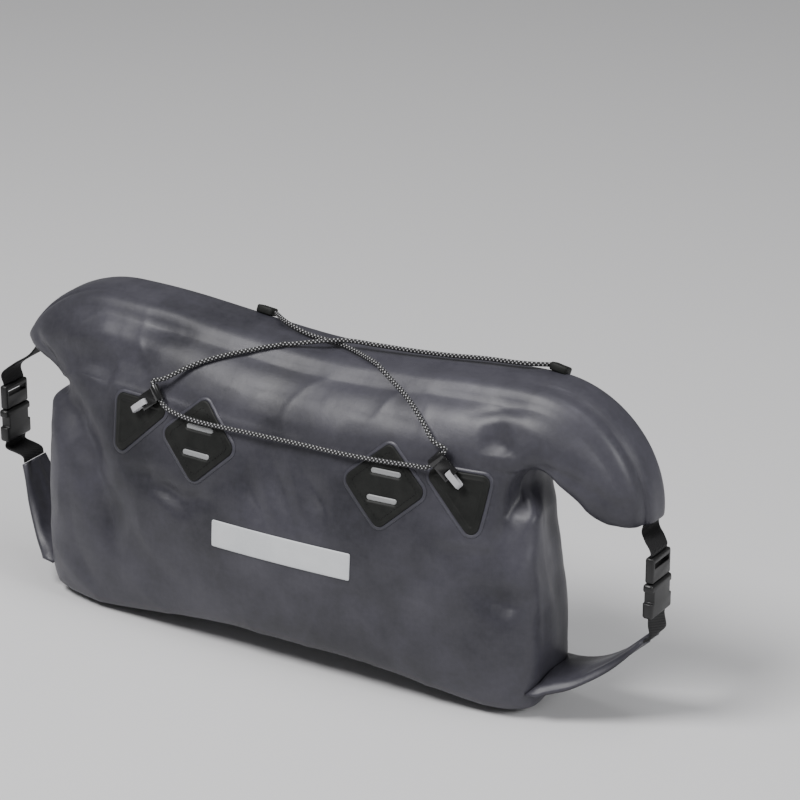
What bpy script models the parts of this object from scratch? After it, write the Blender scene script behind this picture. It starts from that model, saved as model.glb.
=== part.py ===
"""A roll-top handlebar bag: a welded fabric tube with a boxed bottom and a rolled mouth.

The origin is the handlebar's axis at the middle of the bag. X runs along the bar, the front faces
-Y and +Z is up. Lengths are in metres.
"""
import math
from functools import lru_cache

import bmesh
import bpy
from mathutils import Matrix, Vector
from mathutils.bvhtree import BVHTree

# Driving sizes of the shell
BODY_WIDE = 0.440
BODY_DEEP = 0.108
BODY_TALL = 0.221
BODY_SHIFT = -0.018
FLAT_WIDE = 0.518
FLAT_SHIFT = -0.006
BACK_Y = -0.022
BOTTOM_Z = -0.188
WALL = 0.0015
BASE_LIFT = 0.020
CORNER_DROP = 0.015
CORNER_FROM = 0.050
CORNER_OVER = 0.150
LOW_SHARE = 0.30
RIDGE_SAG = 0.011
RIDGE_OVER = 0.180
HIGH_SHARE = 0.60
HIGH_OVER = 0.35

# Soft pieces and their clearances
GAP = 0.0003
SKIN_GAP = 0.0005
PATCH_THICK = 0.0014
STRIP_THICK = 0.0006
WEB_WIDE = 0.025
WEB_THICK = 0.0018

# Marks on the front, measured from the middle: sideways and up
LASH_X = 0.081
LASH_Z = -0.034
LASH_HALF_WIDE = 0.034
LASH_HALF_TALL = 0.031
SLOT_LONG = 0.025
SLOT_TALL = 0.0038
SLOT_PITCH = 0.019
HOOK_PATCH_CORNERS = ((0.162, -0.014), (0.106, -0.014), (0.157, -0.063))
PATCH_ROUND = 0.006
STRIP_HALF_WIDE = 0.0605
STRIP_HALF_TALL = 0.0105
STRIP_Z = -0.098
STRIP_ROUND = 0.0012
SLOT_ROUND = 0.0010
SLOT_GAP = 0.0006

# Cord, its hooks and the tape loops that they catch
CORD_THICK = 0.0034
CORD_GAP = 0.0009
BORE_CLEAR = 0.0005
BORE_SIDES = 12
MOUTH_CLEAR = 0.0028
HOOK_WALL = 0.0014
HOOK_WIDE = 0.012
HOOK_PLATE = 0.0024
HOOK_REACH = 0.0170
HOOK_ARC_STEPS = 10
HOOK_WINDOW = 0.0036
HOLE_X = 0.142
HOLE_Z = -0.024
BARREL_X = 0.120
BARREL_Z = -0.006
TAPE_WIDE = 0.0046
TAPE_THICK = 0.0008
TAPE_LONG = 0.0150
TAPE_HIGH = 0.0056
TAPE_LIFT = 0.0006
TAPE_TURN_STEPS = 6

# Side straps: the buckle's place on each side and its size
SIDE_Y = -0.055
BUCKLE_X = (-0.303, 0.2755)
BUCKLE_Z = (-0.076, -0.085)
BUCKLE_WIDE = 0.031
BUCKLE_THICK = 0.0085
SOCKET_TALL = 0.027
SOCKET_ROUND = 0.0022
PRONG_TALL = 0.020
PRONG_WIDE = 0.028
PRONG_THICK = 0.0068
PRONG_ROUND = 0.0018
PRONG_SLOT = (0.034, 0.0216, 0.0042)
PRONG_SLOT_UP = 0.0036
LATCH_NOTCH = (0.034, 0.007, 0.009)
LATCH_UP = 0.0032
STRAP_EAR_REACH = (0.028, 0.036)
STRAP_EAR_Y = -0.037
STRAP_STEPS = 9
LOWER_STEPS = 6
LOWER_LEAD = 0.006
LOWER_CLEAR = 0.0005

# The tabs at the base's ends, which the lower webbing is sewn to
TAB_TIP = ((-0.287, -0.116), (0.273, -0.130))
TAB_ROOT_Z = -0.170
TAB_ROOT_Y = -0.070
TAB_ROOT_WIDE = 0.066
TAB_SEAT_SHARE = 0.40
TAB_ROOT_INSET = 0.002
TAB_TIP_WIDE = 0.028
TAB_TAPER = 0.8
TAB_SAG = 0.008
TAB_THICK = 0.0036
TAB_GAP = 0.0024
TAB_STEPS = 9

# A tab's section from front to back: across and lift as shares of half its width
TAB_SECTION = ((-1.00, -0.20), (-0.86, -0.10), (-0.70, -0.05), (-0.45, 0.02), (0.00, 0.05),
               (0.45, 0.03), (0.70, 0.00), (0.86, -0.02), (1.00, -0.04))

# Straps round the handlebar
BAR_RADIUS = 0.0159
BAR_CLEAR = 0.0005
BAR_STRAP_X = 0.095
BAR_STRAP_THICK = 0.0020
BAR_STRAP_STEPS = 24
BAR_FOOT_TALL = 0.040
BAR_FOOT_TOP = -0.002
BAR_PROBE_Y = 0.1

# The roll of the mouth: where it is, how far apart its layers are, and its steps
ROLL_DEEP = 0.032
ROLL_GAP = 0.0007
ROLL_CLEAR = 0.0009
ROLL_FRONT_Y = -0.055
ROLL_CREST_DROP = 0.001
ROLL_TURN_RADIUS = 0.0052
ROLL_INSIDE_Y = -0.045
ROLL_END_INSET = 0.004
NECK_SQUARE = 2.3
SLOT_SQUARE = 12.0
TOP_STEPS = 2
REAR_TURN_STEPS = 4
INNER_TURN_STEPS = 2

# The ears: each end of the flattened mouth bends down on an arc
EAR_BEND_Z = 0.005
EAR_FADE_LOW_Z = -0.045
EAR_FADE_TALL = 0.035
EAR_LEFT_START = -0.193
EAR_LEFT_RADIUS = 0.075
EAR_RIGHT_START = 0.177
EAR_RIGHT_RADIUS = 0.047

# Steps along the front and the back of a ring
FRONT_STEPS = 28
BACK_STEPS = 14
OUTLINE_SAMPLES = 240

# Sections from the bottom to the neck: height as a share of BODY_TALL, how much further the left and
# the right end reach as a share of half of BODY_WIDE, front and back as shares of BODY_DEEP in front
# of the back panel, how square the ends are, and how much fuller the middle is than the ends.
SECTION_COLUMNS = ("height", "left", "right", "front", "back", "square", "belly")
SECTIONS = (
    (0.000, -0.071, -0.071, 0.700, 0.190, 4.6, 0.02),
    (0.012, -0.035, -0.035, 0.800, 0.100, 4.6, 0.04),
    (0.045, -0.011, -0.011, 0.900, 0.030, 4.8, 0.08),
    (0.120, 0.000, 0.000, 0.960, 0.005, 4.8, 0.12),
    (0.200, 0.000, 0.000, 0.985, 0.000, 4.7, 0.14),
    (0.280, 0.000, 0.000, 0.995, 0.000, 4.5, 0.16),
    (0.355, 0.000, 0.000, 1.000, 0.000, 4.3, 0.16),
    (0.430, -0.004, -0.006, 0.992, 0.000, 4.1, 0.16),
    (0.505, -0.004, -0.012, 0.974, 0.000, 4.0, 0.16),
    (0.580, 0.004, -0.021, 0.940, 0.000, 3.8, 0.15),
    (0.640, 0.018, -0.029, 0.903, 0.000, 3.7, 0.14),
    (0.690, 0.034, -0.034, 0.868, 0.002, 3.5, 0.13),
    (0.735, 0.050, -0.035, 0.835, 0.005, 3.4, 0.12),
    (0.775, 0.066, -0.021, 0.805, 0.010, 3.2, 0.11),
    (0.795, 0.075, 0.070, 0.785, 0.015, 2.8, 0.10),
    (0.825, 0.088, 0.167, 0.760, 0.025, 2.5, 0.09),
    (0.860, 0.104, 0.220, 0.715, 0.050, 2.3, 0.07),
    (0.895, 0.117, 0.232, 0.655, 0.100, 2.2, 0.05),
    (0.925, 0.123, 0.232, 0.575, 0.170, 2.2, 0.03),
    (0.950, 0.123, 0.232, 0.480, 0.245, 2.3, 0.01),
)

# From the neck to the flat mouth: depth and rise from the top line as shares of ROLL_DEEP, the turn
# in degrees, and how much of the last section's depth is left.
NECK_COLUMNS = ("depth", "rise", "turn", "full")
NECK = (
    (-0.319, -0.209, 38, 0.55),
    (-0.094, -0.141, 66, 0.20),
    (0.094, -0.047, 86, 0.00),
)

# The main dents and ridges: a line from one place to another, x as a share of half of BODY_WIDE from
# the origin, y as a share of BODY_DEEP in front of the back panel, z as a share of BODY_TALL above
# BOTTOM_Z, then how wide and how deep as shares of BODY_DEEP. A ridge has a negative depth.
FOLD_COLUMNS = ("x0", "y0", "z0", "x1", "y1", "z1", "wide", "deep")
FOLDS = (
    (0.875, 0.61, 0.80, 0.795, 0.74, 0.655, 0.14, 0.045),
    (0.841, 0.70, 0.624, 0.750, 0.84, 0.443, 0.15, 0.032),
    (0.718, 0.62, 0.925, 0.735, 0.67, 0.850, 0.11, 0.026),
    (0.812, 0.61, 0.880, 0.802, 0.69, 0.765, 0.11, -0.026),
    (0.770, 0.86, 0.385, 0.880, 0.77, 0.388, 0.12, 0.024),
    (0.690, 0.86, 0.300, 0.830, 0.83, 0.120, 0.24, -0.022),
    (-1.020, 0.68, 0.700, -0.900, 0.80, 0.600, 0.22, 0.045),
    (-0.900, 0.80, 0.600, -0.750, 0.91, 0.400, 0.22, 0.042),
    (-0.750, 0.91, 0.400, -0.660, 0.93, 0.270, 0.22, 0.024),
    (-1.000, 0.80, 0.500, -0.930, 0.87, 0.270, 0.20, -0.026),
    (-0.560, 0.90, 0.540, -0.400, 0.94, 0.480, 0.11, 0.022),
    (-0.400, 0.94, 0.485, -0.230, 0.90, 0.600, 0.11, 0.022),
    (-0.970, 0.62, 0.830, -0.680, 0.66, 0.900, 0.15, 0.030),
    (-0.800, 0.52, 0.960, -0.570, 0.47, 1.000, 0.14, 0.024),
    (0.900, 0.34, 0.740, 0.925, 0.36, 0.440, 0.24, 0.055),
    (-1.080, 0.34, 0.640, -1.080, 0.36, 0.420, 0.24, 0.050),
)


def smooth(share):
    """An easy step from 0 to 1."""
    share = min(max(share, 0.0), 1.0)
    return share * share * (3 - 2 * share)


def ear_bend(x, z):
    """The place of a point once the ears are bent down."""
    start, radius = (EAR_RIGHT_START, EAR_RIGHT_RADIUS) if x > 0 else (EAR_LEFT_START, EAR_LEFT_RADIUS)
    outwards = math.copysign(1, x)
    beyond = (x - start) * outwards
    weight = smooth((z - EAR_FADE_LOW_Z) / EAR_FADE_TALL)
    if beyond <= 0 or weight <= 0:
        return x, z
    angle = beyond / radius
    reach = radius + z - EAR_BEND_Z
    bent_x = start + outwards * reach * math.sin(angle)
    bent_z = EAR_BEND_Z - radius + reach * math.cos(angle)
    return x + weight * (bent_x - x), z + weight * (bent_z - z)


@lru_cache(maxsize=None)
def half_shares(square, steps):
    """X and depth shares of half a ring, from end to end at equal steps along it."""
    fine = []
    for sample in range(OUTLINE_SAMPLES + 1):
        angle = math.pi * sample / OUTLINE_SAMPLES
        across = math.copysign(abs(math.cos(angle)) ** (2 / square), math.cos(angle))
        fine.append((across, max(math.sin(angle), 0.0) ** (2 / square)))
    lengths = [0.0]
    for here, there in zip(fine, fine[1:]):
        step = math.hypot((there[0] - here[0]) * BODY_WIDE / 2, (there[1] - here[1]) * BODY_DEEP / 2)
        lengths.append(lengths[-1] + step)
    shares = [fine[0]]
    k = 0
    for number in range(1, steps):
        want = lengths[-1] * number / steps
        while lengths[k + 1] < want:
            k += 1
        part = (want - lengths[k]) / (lengths[k + 1] - lengths[k])
        shares.append(tuple(a + part * (b - a) for a, b in zip(fine[k], fine[k + 1])))
    return shares


def ring_points(section):
    """One ring, across the path of the section: the back from right to left, then the front."""
    square = section["square"]
    shares = list(half_shares(square, BACK_STEPS))
    shares += [(-across, -full) for across, full in half_shares(square, FRONT_STEPS)]
    points = []
    for across, full in shares:
        depth = full * section["deep"] / 2
        if full < 0:
            depth *= 1 - section["belly"] * math.sin(math.pi / 2 * across) ** 2
        y = section["y"] + depth * math.cos(section["turn"])
        z = section["z"] - depth * math.sin(section["turn"])
        points.append((section["middle"] + section["half"] * across, y, z))
    return points


def body_sections():
    """Rings from the bottom to the neck."""
    rows = []
    for row in SECTIONS:
        name = dict(zip(SECTION_COLUMNS, row))
        left = BODY_SHIFT - BODY_WIDE / 2 * (1 + name["left"])
        right = BODY_SHIFT + BODY_WIDE / 2 * (1 + name["right"])
        front = BACK_Y - name["front"] * BODY_DEEP
        back = BACK_Y - name["back"] * BODY_DEEP
        rows.append({
            "half": (right - left) / 2, "middle": (left + right) / 2, "y": (front + back) / 2,
            "deep": back - front, "z": BOTTOM_Z + name["height"] * BODY_TALL, "turn": 0.0,
            "square": name["square"], "belly": name["belly"], "rise": name["height"]})
    return rows


def roll_sections():
    """Rings along the flattened mouth: over the ridge, down behind, under and up inside the roll."""
    thick = 2 * WALL + ROLL_GAP
    last = body_sections()[-1]
    top_y = ROLL_FRONT_Y + ROLL_DEEP / 4
    top_z = last["z"] + last["deep"] / 2
    path = []
    for row in NECK:
        name = dict(zip(NECK_COLUMNS, row))
        path.append((top_y + name["depth"] * ROLL_DEEP, top_z + name["rise"] * ROLL_DEEP,
                     math.radians(name["turn"]), name["full"]))
    crest_y, crest_z = path[-1][0], top_z - ROLL_CREST_DROP
    rear_y = ROLL_FRONT_Y + ROLL_DEEP - ROLL_TURN_RADIUS
    for step in range(1, TOP_STEPS + 1):
        path.append((crest_y + (rear_y - crest_y) * step / TOP_STEPS, crest_z, math.pi / 2, 0.0))
    for step in range(1, REAR_TURN_STEPS + 1):
        turn = math.pi * step / REAR_TURN_STEPS
        path.append((rear_y + ROLL_TURN_RADIUS * math.sin(turn),
                     crest_z - ROLL_TURN_RADIUS * (1 - math.cos(turn)), math.pi / 2 + turn, 0.0))
    low_z = crest_z - 2 * ROLL_TURN_RADIUS
    inner = ROLL_TURN_RADIUS - (thick + ROLL_CLEAR) / 2
    path.append((ROLL_INSIDE_Y, low_z, 1.5 * math.pi, 0.0))
    for step in range(1, INNER_TURN_STEPS + 1):
        turn = math.pi * step / INNER_TURN_STEPS
        path.append((ROLL_INSIDE_Y - inner * math.sin(turn), low_z + inner * (1 - math.cos(turn)),
                     1.5 * math.pi + turn, 0.0))
    path.append((rear_y - ROLL_END_INSET, low_z + 2 * inner, 2.5 * math.pi, 0.0))
    rows = []
    for y, z, turn, full in path:
        rows.append({
            "half": FLAT_WIDE / 2, "middle": FLAT_SHIFT, "y": y, "z": z, "turn": turn,
            "deep": thick + full * (last["deep"] - thick),
            "square": NECK_SQUARE if full else SLOT_SQUARE, "belly": 0.0, "rise": 1.0})
    return rows


def settle(x, y, z, rise):
    """Lift the back of the base, sag the ridge and bend the ears."""
    low = smooth(1 - rise / LOW_SHARE)
    z += BASE_LIFT * low * (y - (BACK_Y - BODY_DEEP)) / BODY_DEEP
    z -= CORNER_DROP * low * smooth((abs(x) - CORNER_FROM) / CORNER_OVER)
    z += RIDGE_SAG * smooth((rise - HIGH_SHARE) / HIGH_OVER) * smooth(abs(x) / RIDGE_OVER)
    x, z = ear_bend(x, z)
    return Vector((x, y, z))


def fold_lines():
    """The folds in metres: the two ends of each line, its width and its depth."""
    lines = []
    for row in FOLDS:
        name = dict(zip(FOLD_COLUMNS, row))
        ends = [Vector((name["x" + end] * BODY_WIDE / 2, BACK_Y - name["y" + end] * BODY_DEEP,
                        BOTTOM_Z + name["z" + end] * BODY_TALL)) for end in "01"]
        lines.append((*ends, name["wide"] * BODY_DEEP, name["deep"] * BODY_DEEP))
    return lines


def fold_depth(place, lines):
    """How far the folds press a place in."""
    depth = 0.0
    for start, end, wide, deep in lines:
        run = end - start
        share = min(max((place - start).dot(run) / run.length_squared, 0.0), 1.0)
        depth += deep * smooth(1 - (place - start - run * share).length / wide)
    return depth


def close_base(mesh, ring):
    """Triangles between the back and the front of the lowest ring, from right to left."""
    back = ring[:BACK_STEPS + 1]
    front = [ring[0], *reversed(ring[BACK_STEPS:])]
    while len(back) > 1 or len(front) > 1:
        if len(front) == 1 or (len(back) > 1 and back[1].co.x > front[1].co.x):
            corners = (back[0], back[1], front[0])
            back = back[1:]
        else:
            corners = (back[0], front[1], front[0])
            front = front[1:]
        if len(set(corners)) == 3:
            mesh.faces.new(corners)


def outer_skin():
    """The outer skin with its folds, and its rings."""
    mesh = bmesh.new()
    rings = []
    body = []
    for section in body_sections() + roll_sections():
        rings.append([mesh.verts.new(settle(*point, section["rise"])) for point in ring_points(section)])
        if section["rise"] < 1:
            body += rings[-1]
    for lower, upper in zip(rings, rings[1:]):
        for k, corner in enumerate(lower):
            after = (k + 1) % len(lower)
            mesh.faces.new((corner, lower[after], upper[after], upper[k]))
    close_base(mesh, rings[0])
    mesh.normal_update()
    lines = fold_lines()
    moves = [vert.normal * fold_depth(vert.co, lines) for vert in body]
    for vert, move in zip(body, moves):
        vert.co -= move
    mesh.normal_update()
    return mesh, rings


def finish_of(name, colour, roughness, metallic=0.0):
    """A Principled material of its own for one object."""
    material = bpy.data.materials.new(name)
    material.use_nodes = True
    shader = material.node_tree.nodes["Principled BSDF"]
    shader.inputs["Base Color"].default_value = (*colour, 1.0)
    shader.inputs["Roughness"].default_value = roughness
    shader.inputs["Metallic"].default_value = metallic
    return material


def new_object(name, mesh, finish):
    """An object from a bmesh, with its own material."""
    bmesh.ops.recalc_face_normals(mesh, faces=mesh.faces)
    data = bpy.data.meshes.new(name)
    mesh.to_mesh(data)
    mesh.free()
    item = bpy.data.objects.new(name, data)
    bpy.context.collection.objects.link(item)
    data.materials.append(finish_of(name, *FINISHES[finish]))
    data.shade_smooth()
    data.set_sharp_from_angle(angle=math.radians(35))
    return item


def build_shell():
    """The hollow shell: an outer and an inner skin joined at the mouth."""
    mesh, rings = outer_skin()
    outer = list(mesh.verts)
    faces = list(mesh.faces)
    inner = {vert: mesh.verts.new(vert.co - vert.normal * WALL) for vert in outer}
    for face in faces:
        mesh.faces.new([inner[v] for v in reversed(face.verts)])
    mouth = rings[-1]
    for a, b in zip(mouth, mouth[1:] + mouth[:1]):
        mesh.faces.new((a, b, inner[b], inner[a]))
    bmesh.ops.triangulate(mesh, faces=mesh.faces)
    return new_object("bag_shell", mesh, "coated cloth")


FINISHES = {
    "coated cloth": ((0.055, 0.055, 0.062), 0.48),
    "rubber": ((0.018, 0.018, 0.019), 0.55),
    "webbing": ((0.012, 0.012, 0.013), 0.75),
    "buckle": ((0.010, 0.010, 0.011), 0.30),
    "cord": ((0.060, 0.060, 0.062), 0.70),
    "tape": ((0.620, 0.620, 0.620), 0.45),
    "reflective": ((0.420, 0.430, 0.440), 0.35),
}
SIDES = (("left", -1), ("right", 1))


class Skin:
    """The built shell, asked where its surface is."""

    def __init__(self, item):
        self.tree = BVHTree.FromPolygons([v.co.copy() for v in item.data.vertices],
                                         [tuple(p.vertices) for p in item.data.polygons])

    def hit(self, origin, direction):
        """The first point of the shell from an origin, and the way it faces."""
        place, normal, _, _ = self.tree.ray_cast(Vector(origin), Vector(direction).normalized())
        if normal.dot(Vector(direction)) > 0:
            normal = -normal
        return place, normal

    def front(self, x, z):
        """The shell's front at a place sideways and up."""
        return self.hit((x, BACK_Y - 4 * BODY_DEEP, z), (0, 1, 0))

    def clear(self, place, distance):
        """A place moved out of the shell until it is a distance away."""
        near, normal, _, _ = self.tree.find_nearest(place)
        away = place - near
        if away.dot(normal) < 0 or away.length < 1e-6:
            return near + normal * distance
        return place if away.length >= distance else near + away.normalized() * distance


def rounded_outline(corners, radius, steps=3):
    """A closed outline through corners that are rounded by arcs."""
    outline = []
    count = len(corners)
    for k, corner in enumerate(corners):
        here = Vector(corner)
        before = (Vector(corners[k - 1]) - here).normalized()
        after = (Vector(corners[(k + 1) % count]) - here).normalized()
        half = before.angle(after) / 2
        middle = here + (before + after).normalized() * radius / math.sin(half)
        start = here + before * radius / math.tan(half)
        end = here + after * radius / math.tan(half)
        first = math.atan2(*reversed(start - middle))
        sweep = math.atan2(*reversed(end - middle)) - first
        sweep = (sweep + math.pi) % math.tau - math.pi
        for step in range(steps + 1):
            angle = first + sweep * step / steps
            outline.append(middle + radius * Vector((math.cos(angle), math.sin(angle))))
    return outline


def subdivided(outline, longest):
    """The outline with its long sides cut into equal steps."""
    points = []
    for here, there in zip(outline, outline[1:] + outline[:1]):
        steps = max(1, math.ceil((there - here).length / longest))
        points += [here.lerp(there, step / steps) for step in range(steps)]
    return points


def skin_patch(name, skin, corners, radius, thick, gap, finish, step=0.009, rings=3):
    """A thin sheet that follows the front of the shell at a gap."""
    outline = subdivided(rounded_outline(corners, radius), step)
    centre = sum(outline, Vector((0, 0))) / len(outline)
    mesh = bmesh.new()
    layers = []
    for height in (gap, gap + thick):
        loops = []
        for ring_number in range(1, rings + 1):
            loop = []
            for point in outline:
                flat = centre.lerp(point, ring_number / rings)
                place, normal = skin.front(*flat)
                loop.append(mesh.verts.new(place + normal * height))
            loops.append(loop)
        place, normal = skin.front(*centre)
        layers.append((mesh.verts.new(place + normal * height), loops))
    for middle, loops in layers:
        count = len(outline)
        for k in range(count):
            mesh.faces.new((middle, loops[0][k], loops[0][(k + 1) % count]))
            for inner, outer in zip(loops, loops[1:]):
                mesh.faces.new((inner[k], outer[k], outer[(k + 1) % count], inner[(k + 1) % count]))
    low, high = layers[0][1][-1], layers[1][1][-1]
    for k in range(len(outline)):
        after = (k + 1) % len(outline)
        mesh.faces.new((low[k], low[after], high[after], high[k]))
    return new_object(name, mesh, finish)


def loft(mesh, rings, closed=False, strips=False):
    """Walls between rings, with flat ends or strips of quads unless the rings close on themselves."""
    loops = [[mesh.verts.new(point) for point in ring] for ring in rings]
    pairs = list(zip(loops, loops[1:]))
    if closed:
        pairs.append((loops[-1], loops[0]))
    count = len(loops[0])
    for here, there in pairs:
        for k in range(count):
            mesh.faces.new((here[k], here[(k + 1) % count], there[(k + 1) % count], there[k]))
    if closed:
        return
    for loop in (list(reversed(loops[0])), loops[-1]):
        if not strips:
            mesh.faces.new(loop)
            continue
        for k in range(count // 2 - 1):
            mesh.faces.new((loop[k], loop[k + 1], loop[count - 2 - k], loop[count - 1 - k]))


def band_rings(path, wide_way, widths, thick, closed=False):
    """Rectangles across a path: wide along one way, thin across it."""
    rings = []
    count = len(path)
    for k, place in enumerate(path):
        before = path[k - 1] if k or closed else place
        after = path[(k + 1) % count] if k < count - 1 or closed else place
        across = (after - before).cross(wide_way).normalized() * thick / 2
        side = wide_way.normalized() * widths[k] / 2
        rings.append([place - side - across, place + side - across, place + side + across, place - side + across])
    return rings


def smooth_path(points, count, before=None, after=None):
    """Points at equal steps along a smooth curve; before and after steer its two ends."""
    fine = []
    before = before or 2 * points[0] - points[1]
    after = after or 2 * points[-1] - points[-2]
    ends = [before, *points, after]
    for a, b, c, d in zip(ends, ends[1:], ends[2:], ends[3:]):
        for step in range(12):
            t = step / 12
            fine.append(0.5 * (2 * b + (c - a) * t + (2 * a - 5 * b + 4 * c - d) * t ** 2
                               + (3 * b - a - 3 * c + d) * t ** 3))
    fine.append(points[-1].copy())
    lengths = [0.0]
    for here, there in zip(fine, fine[1:]):
        lengths.append(lengths[-1] + (there - here).length)
    path = []
    k = 0
    for number in range(count):
        want = lengths[-1] * number / (count - 1)
        while k < len(fine) - 2 and lengths[k + 1] < want:
            k += 1
        share = (want - lengths[k]) / max(lengths[k + 1] - lengths[k], 1e-9)
        path.append(fine[k].lerp(fine[k + 1], min(share, 1.0)))
    return path


def cut(item, cutter):
    """Cut one object with another, which stays as a hidden guide."""
    cutter.hide_render = True
    cutter.display_type = "WIRE"
    modifier = item.modifiers.new("cut", "BOOLEAN")
    modifier.operation = "DIFFERENCE"
    modifier.solver = "EXACT"
    modifier.object = cutter


def box_object(name, centre, size, frame=None, bevel=0.0, finish="buckle"):
    """A box with rounded edges, turned to a frame of three ways."""
    mesh = bmesh.new()
    bmesh.ops.create_cube(mesh, size=1.0)
    bmesh.ops.scale(mesh, vec=size, verts=mesh.verts)
    if bevel:
        bmesh.ops.bevel(mesh, geom=mesh.edges, offset=bevel, segments=2, profile=0.5, affect="EDGES")
    if frame:
        bmesh.ops.transform(mesh, matrix=Matrix(frame).transposed().to_4x4(), verts=mesh.verts)
    bmesh.ops.translate(mesh, vec=centre, verts=mesh.verts)
    return new_object(name, mesh, finish)


def rectangle(x, z, half_wide, half_tall):
    """Corners of an upright rectangle, anticlockwise from the lower right."""
    return [(x + half_wide, z - half_tall), (x + half_wide, z + half_tall),
            (x - half_wide, z + half_tall), (x - half_wide, z - half_tall)]


def build_lash_patch(skin, side_name, side):
    """A diamond patch with two slots, and the light strip that shows in each."""
    x = side * LASH_X
    corners = [(x + LASH_HALF_WIDE, LASH_Z), (x, LASH_Z + LASH_HALF_TALL),
               (x - LASH_HALF_WIDE, LASH_Z), (x, LASH_Z - LASH_HALF_TALL)]
    patch = skin_patch(f"lash_patch_{side_name}", skin, corners, PATCH_ROUND, PATCH_THICK, SKIN_GAP, "rubber")
    for row_name, row in (("upper", 1), ("lower", -1)):
        z = LASH_Z + row * SLOT_PITCH / 2
        place, normal = skin.front(x, z)
        long_way = Vector((1, 0, 0))
        up_way = long_way.cross(normal).normalized()
        size = (SLOT_LONG, 6 * PATCH_THICK, SLOT_TALL)
        cut(patch, box_object(f"slot_cutter_{side_name}_{row_name}", place, size, (long_way, normal, up_way)))
        bar = rectangle(x, z, SLOT_LONG / 2 - SLOT_GAP, SLOT_TALL / 2 - SLOT_GAP)
        skin_patch(f"slot_strip_{side_name}_{row_name}", skin, bar, SLOT_ROUND, STRIP_THICK, SKIN_GAP,
                   "reflective", step=SLOT_LONG / 4, rings=1)


def hook_profile(bar_start, barrel_reach, barrel_height, middle):
    """The hook's outline seen from its side: a plate that ends in a barrel."""
    outer = CORD_THICK / 2 + BORE_CLEAR + HOOK_WALL
    plate_low, plate_top = middle - HOOK_PLATE / 2, middle + HOOK_PLATE / 2
    low = math.atan2(plate_low - barrel_height, -math.sqrt(outer ** 2 - (plate_low - barrel_height) ** 2))
    top = math.atan2(plate_top - barrel_height, -math.sqrt(outer ** 2 - (plate_top - barrel_height) ** 2))
    first, last = low % math.tau, top % math.tau + math.tau
    profile = [(bar_start, plate_low)]
    for step in range(HOOK_ARC_STEPS + 1):
        angle = first + (last - first) * step / HOOK_ARC_STEPS
        profile.append((barrel_reach + outer * math.cos(angle), barrel_height + outer * math.sin(angle)))
    return [*profile, (bar_start, plate_top)]


def build_hook(skin, side_name, side):
    """The hook patch, its tape loop and the cord's hook; returns the middle and way of the cord's bore."""
    corners = [(side * x, z) for x, z in HOOK_PATCH_CORNERS]
    skin_patch(f"hook_patch_{side_name}", skin, corners, PATCH_ROUND, PATCH_THICK, SKIN_GAP, "rubber")
    hole, normal = skin.front(side * HOLE_X, HOLE_Z)
    barrel, _ = skin.front(side * BARREL_X, BARREL_Z)
    along = (barrel - hole).normalized()
    out = (normal - along * normal.dot(along)).normalized()
    across = out.cross(along)
    if across.z < 0:
        across = -across
    base = hole + out * (SKIN_GAP + PATCH_THICK + GAP + TAPE_LIFT)

    def place(reach, height):
        return base + along * reach + out * height

    middle = TAPE_HIGH / 2
    radius = (TAPE_HIGH - TAPE_THICK) / 2
    bar_end = TAPE_LONG - middle
    path = []
    for centre, start in ((bar_end, -math.pi / 2), (middle, math.pi / 2)):
        for step in range(TAPE_TURN_STEPS + 1):
            angle = start + math.pi * step / TAPE_TURN_STEPS
            path.append(place(centre + radius * math.cos(angle), middle + radius * math.sin(angle)))
    mesh = bmesh.new()
    loft(mesh, band_rings(path, across, [TAPE_WIDE] * len(path), TAPE_THICK, closed=True), closed=True)
    new_object(f"tape_loop_{side_name}", mesh, "tape")

    bore = CORD_THICK / 2 + BORE_CLEAR
    bar_start = bar_end - HOOK_PLATE
    barrel_reach = bar_start + HOOK_REACH
    barrel_height = max(bore + HOOK_WALL, middle)
    profile = hook_profile(bar_start, barrel_reach, barrel_height, middle)
    mesh = bmesh.new()
    loft(mesh, [[place(*point) + across * end * HOOK_WIDE / 2 for point in profile] for end in (-1, 1)])
    hook = new_object(f"cord_hook_{side_name}", mesh, "buckle")
    circle = [(barrel_reach + bore * math.cos(math.tau * k / BORE_SIDES),
               barrel_height + bore * math.sin(math.tau * k / BORE_SIDES)) for k in range(BORE_SIDES)]
    mesh = bmesh.new()
    loft(mesh, [[place(*point) + across * end * HOOK_WIDE for point in circle] for end in (-1, 1)])
    cut(hook, new_object(f"bore_cutter_{side_name}", mesh, "buckle"))
    size = (HOOK_WINDOW, TAPE_WIDE + 4 * GAP, 4 * HOOK_PLATE)
    cut(hook, box_object(f"window_cutter_{side_name}", place(bar_end + HOOK_WINDOW / 2, middle), size,
                         (along, across, out)))
    return place(barrel_reach, barrel_height), across


# The cord's route over the bag, by hand: sideways, depth and height, and how far above the shell
ROUTE_COLUMNS = ("x", "y", "z", "lift")
ROUTE_LEFT_UP = ((-0.117, -0.105, 0.006, 0.001), (-0.100, -0.094, 0.016, 0.0), (-0.081, -0.083, 0.023, 0.0),
                 (-0.059, -0.072, 0.030, 0.0), (-0.028, -0.060, 0.036, 0.001), (0.003, -0.046, 0.040, 0.0042),
                 (0.032, -0.042, 0.042, 0.0035), (0.058, -0.040, 0.043, 0.001), (0.090, -0.038, 0.045, 0.0),
                 (0.120, -0.036, 0.048, 0.0), (0.151, -0.034, 0.050, 0.001))
ROUTE_FRONT = ((-0.103, -0.110, -0.0175, 0.0), (-0.079, -0.112, -0.019, 0.0), (-0.033, -0.112, -0.018, 0.0),
               (0.012, -0.112, -0.017, 0.0), (0.044, -0.111, -0.017, 0.0), (0.077, -0.109, -0.016, 0.0),
               (0.103, -0.107, -0.0145, 0.0))
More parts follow.
